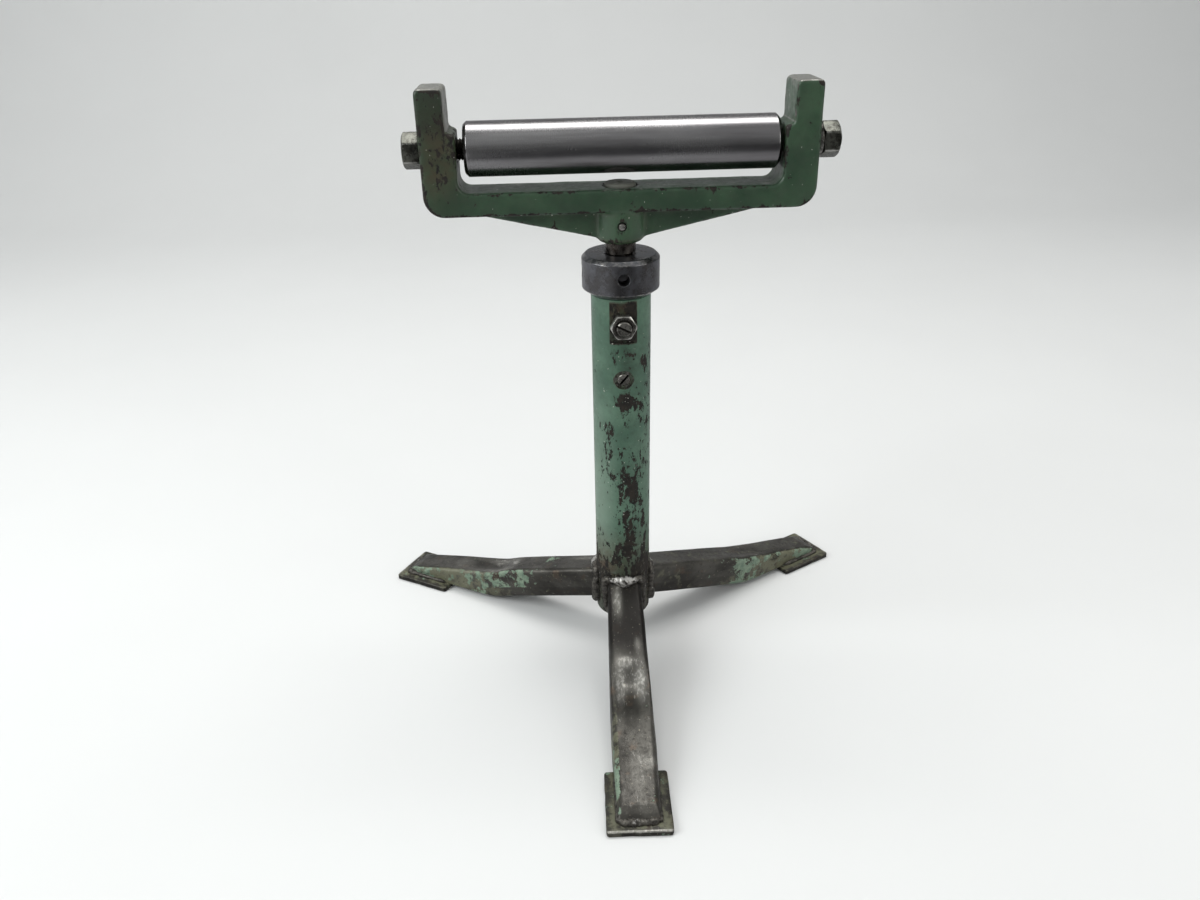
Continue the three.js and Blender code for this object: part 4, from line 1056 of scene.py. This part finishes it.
def axle_shank():
    """Bar over angle and length with a thread of 2 mm pitch where it shows: the radius follows
    a zigzag of the length less the angle's share of the pitch."""
    shown = [np.arange(-123, -113, 0.25), np.arange(162, 167.2, 0.25)]
    along = np.concatenate([[-150], shown[0], np.linspace(-110, 158, 20), shown[1]]) * mm
    angle = np.linspace(0, 2 * np.pi, 48, endpoint=False)
    phase = (along[:, None] / (2 * mm) - angle / (2 * np.pi)) % 1
    radius = axle_radius - 1.1 * mm * np.abs(2 * phase - 1)
    radius = np.where(((along > -113 * mm) & (along < 161 * mm))[:, None], axle_radius - 0.2 * mm, radius)
    radius = np.minimum(radius, axle_radius - np.clip(along[:, None] - 165.2 * mm, 0, 2 * mm))
    return np.stack([radius * np.cos(angle), radius * np.sin(angle), along[:, None] + 0 * angle], axis=-1)


def spring_washer():
    """Square section carried round an open turn, its ends a little apart and offset."""
    turn = np.linspace(math.radians(5), math.radians(355), 90)[:, None]
    section = rounded_outline(5 * mm, 3.2 * mm, 0.5 * mm, 2, 3)
    radius = 10.9 * mm + section[:, 0]
    along = 150.05 * mm + section[:, 1] + 0 * turn
    return np.stack([radius * np.sin(turn), -radius * np.cos(turn), along], axis=-1)


axle_steel = dull_steel("dark_bolt_steel", shade(62, 63, 58), shade(104, 105, 98))
head = hexagon_rings(axle_flats, -160.8 * mm, -148.3 * mm, 0, True, False)
bolt = skin("axle_bolt_steel", along_axle(head), along_axle(axle_shank()), crease=25)
nut = hexagon_rings(axle_flats, 152.1 * mm, 165.1 * mm, 8.2 * mm, True, True)
nut = skin("axle_nut_steel", along_axle(nut), loop=True, crease=25)
washer = skin("axle_spring_washer", along_axle(spring_washer()), crease=30)
for piece, node in ((bolt, "axle_bolt"), (nut, "axle_nut"), (washer, "axle_washer")):
    x, y, z = points_of(piece).T
    from_axis = np.hypot(y - column_y, z - roller_level)
    mark(piece, "rub_and_sheen", 0.6 * np.clip((from_axis - 12.9 * mm) / (0.6 * mm), 0, 1))
    dark = {
        "axle_bolt": 0.9 * (from_axis < 8.5 * mm),
        "axle_nut": 0.5 * (from_axis < 9 * mm),
        "axle_washer": 0.75 + 0 * x,
    }
    mark(piece, "grime", dark[node])
    fixed(piece, axle_steel, "head", "screw_steel", node)


# Floor, light and camera
# A plain pale sheet under the stand, turned up behind it and all round, a large soft window
# light from the left, a soft light overhead and a weak one from the right. Not part of the stand.

sheet_length, sheet_width, sheet_corner, sheet_height = 10.0, 7.5, 2.2, 5.0
sheet_back, sheet_curve = 2.5, 0.9

turn_up = np.linspace(0.1, np.pi / 2, 14)
insets = np.concatenate([[1.6, 1.2, 0.9], sheet_curve * (1 - np.sin(turn_up)), [0]])
levels = np.concatenate([[0, 0, 0], sheet_curve * (1 - np.cos(turn_up)), [sheet_height]])
sheet = []
for inset, level in zip(insets, levels):
    length, width = sheet_length - 2 * inset, sheet_width - 2 * inset
    x, y = rounded_outline(length, width, sheet_corner - inset, 8, 12).T
    sheet.append(np.stack([x, y + sheet_back - sheet_width / 2, level + 0 * x], axis=-1))
sheet = np.array(sheet)
here = np.arange(sheet[..., 0].size).reshape(sheet.shape[:2])
beside = np.roll(here, -1, axis=1)
quads = np.stack([here[:-1], here[1:], beside[1:], beside[:-1]], axis=-1).reshape(-1, 4)
mesh = bpy.data.meshes.new("paper_sweep")
mesh.from_pydata(sheet.reshape(-1, 3).tolist(), [], quads.tolist() + [here[0].tolist()])
mesh.shade_smooth()
sweep = bpy.data.objects.new("paper_sweep", mesh)
bpy.context.collection.objects.link(sweep)
material, tree, shader, place = new_finish("pale_paper")
pale = tint(tree, cloud(tree, place, 1.6, 3), shade(221, 222, 222), shade(229, 230, 230))
spread = put(tree, "SeparateXYZ", {0: place}).outputs
# Metal mirrors the sheet darker towards the front and paler to the left: a painted reflection of the
# room.
mirrored = tint(tree, rise(tree, spread["Y"], -0.8, -0.25), shade(66, 66, 68), shade(172, 172, 174))
mirrored = tint(tree, rise(tree, spread["X"], -0.2, -0.7), mirrored, shade(205, 205, 207))
ray = put(tree, "LightPath").outputs
tree.links.new(tint(tree, ray["Is Glossy Ray"], pale, mirrored), shader.inputs["Base Color"])
shader.inputs["Roughness"].default_value = 0.9
# Only the camera sees the sheet turned up in front and at the sides: the room's light passes it.
in_front = sum_of(tree, rise(tree, spread["Y"], 1.2, 0.6), rise(tree, spread["Z"], 0, 0.02), "MULTIPLY")
open_to_room = sum_of(tree, in_front, sum_of(tree, 1.0, ray["Is Camera Ray"], "SUBTRACT"), "MULTIPLY")
clear = put(tree, "BsdfTransparent").outputs[0]
surface = put(tree, "MixShader", {0: open_to_room, 1: shader.outputs[0], 2: clear}).outputs[0]
tree.links.new(surface, tree.nodes["Material Output"].inputs["Surface"])
mesh.materials.append(material)


def soft_light(name, spot, aim, width, height, power, colour):
    """Rectangular lamp at a spot, turned to an aim."""
    lamp = bpy.data.lights.new(name, "AREA")
    lamp.shape = "RECTANGLE"
    lamp.size, lamp.size_y, lamp.energy, lamp.color = width, height, power, colour
    light = bpy.data.objects.new(name, lamp)
    back = np.subtract(spot, aim)
    light.location = spot
    tilt = math.atan2(math.hypot(back[0], back[1]), back[2])
    light.rotation_euler = (tilt, 0, math.atan2(back[0], -back[1]))
    bpy.context.collection.objects.link(light)


soft_light("window", (-1.9, -0.6, 1.5), (0, 0.05, 0.25), 1.5, 1.4, 33, (0.96, 0.985, 0.98))
soft_light("overhead", (0.1, 0.6, 2.4), (0, 0.1, 0.2), 1.9, 0.9, 30, (1.0, 0.99, 0.97))
soft_light("fill", (1.7, -1.2, 1.0), (0, 0.05, 0.3), 1.2, 1.2, 11, (1.0, 0.99, 0.96))

world = bpy.data.worlds.new("room")
world.use_nodes = True
bpy.context.scene.world = world
tree = world.node_tree
way = put(tree, "SeparateXYZ", {0: put(tree, "TexCoord").outputs["Generated"]}).outputs
ceiling, far_wall = rise(tree, way["Z"], -0.1, 0.9, 0.13, 0.5), rise(tree, way["Y"], -0.3, 0.6, 0.0, 0.35)
tree.links.new(sum_of(tree, ceiling, far_wall), tree.nodes["Background"].inputs["Strength"])
tree.nodes["Background"].inputs["Color"].default_value = (0.965, 0.985, 0.98, 1)
bpy.context.scene.view_settings.view_transform = "Standard"

yaw, pitch, roll = math.radians(-3.2), math.radians(27.02), math.radians(1.09)
ahead = np.array([-math.sin(yaw) * math.cos(pitch), math.cos(yaw) * math.cos(pitch), -math.sin(pitch)])
level_right = np.array([math.cos(yaw), math.sin(yaw), 0])
level_up = np.cross(level_right, ahead)
right = math.cos(roll) * level_right - math.sin(roll) * level_up
above = math.sin(roll) * level_right + math.cos(roll) * level_up
lens = bpy.data.cameras.new("camera")
lens.sensor_width = 36
lens.lens = 28.9
camera = bpy.data.objects.new("camera", lens)
seat = (-60.7 * mm, column_y - 743.5 * mm, 571.6 * mm)
camera.matrix_world = np.vstack([np.column_stack([right, above, -ahead, seat]), [0, 0, 0, 1]]).T.tolist()
bpy.context.collection.objects.link(camera)
bpy.context.scene.camera = camera
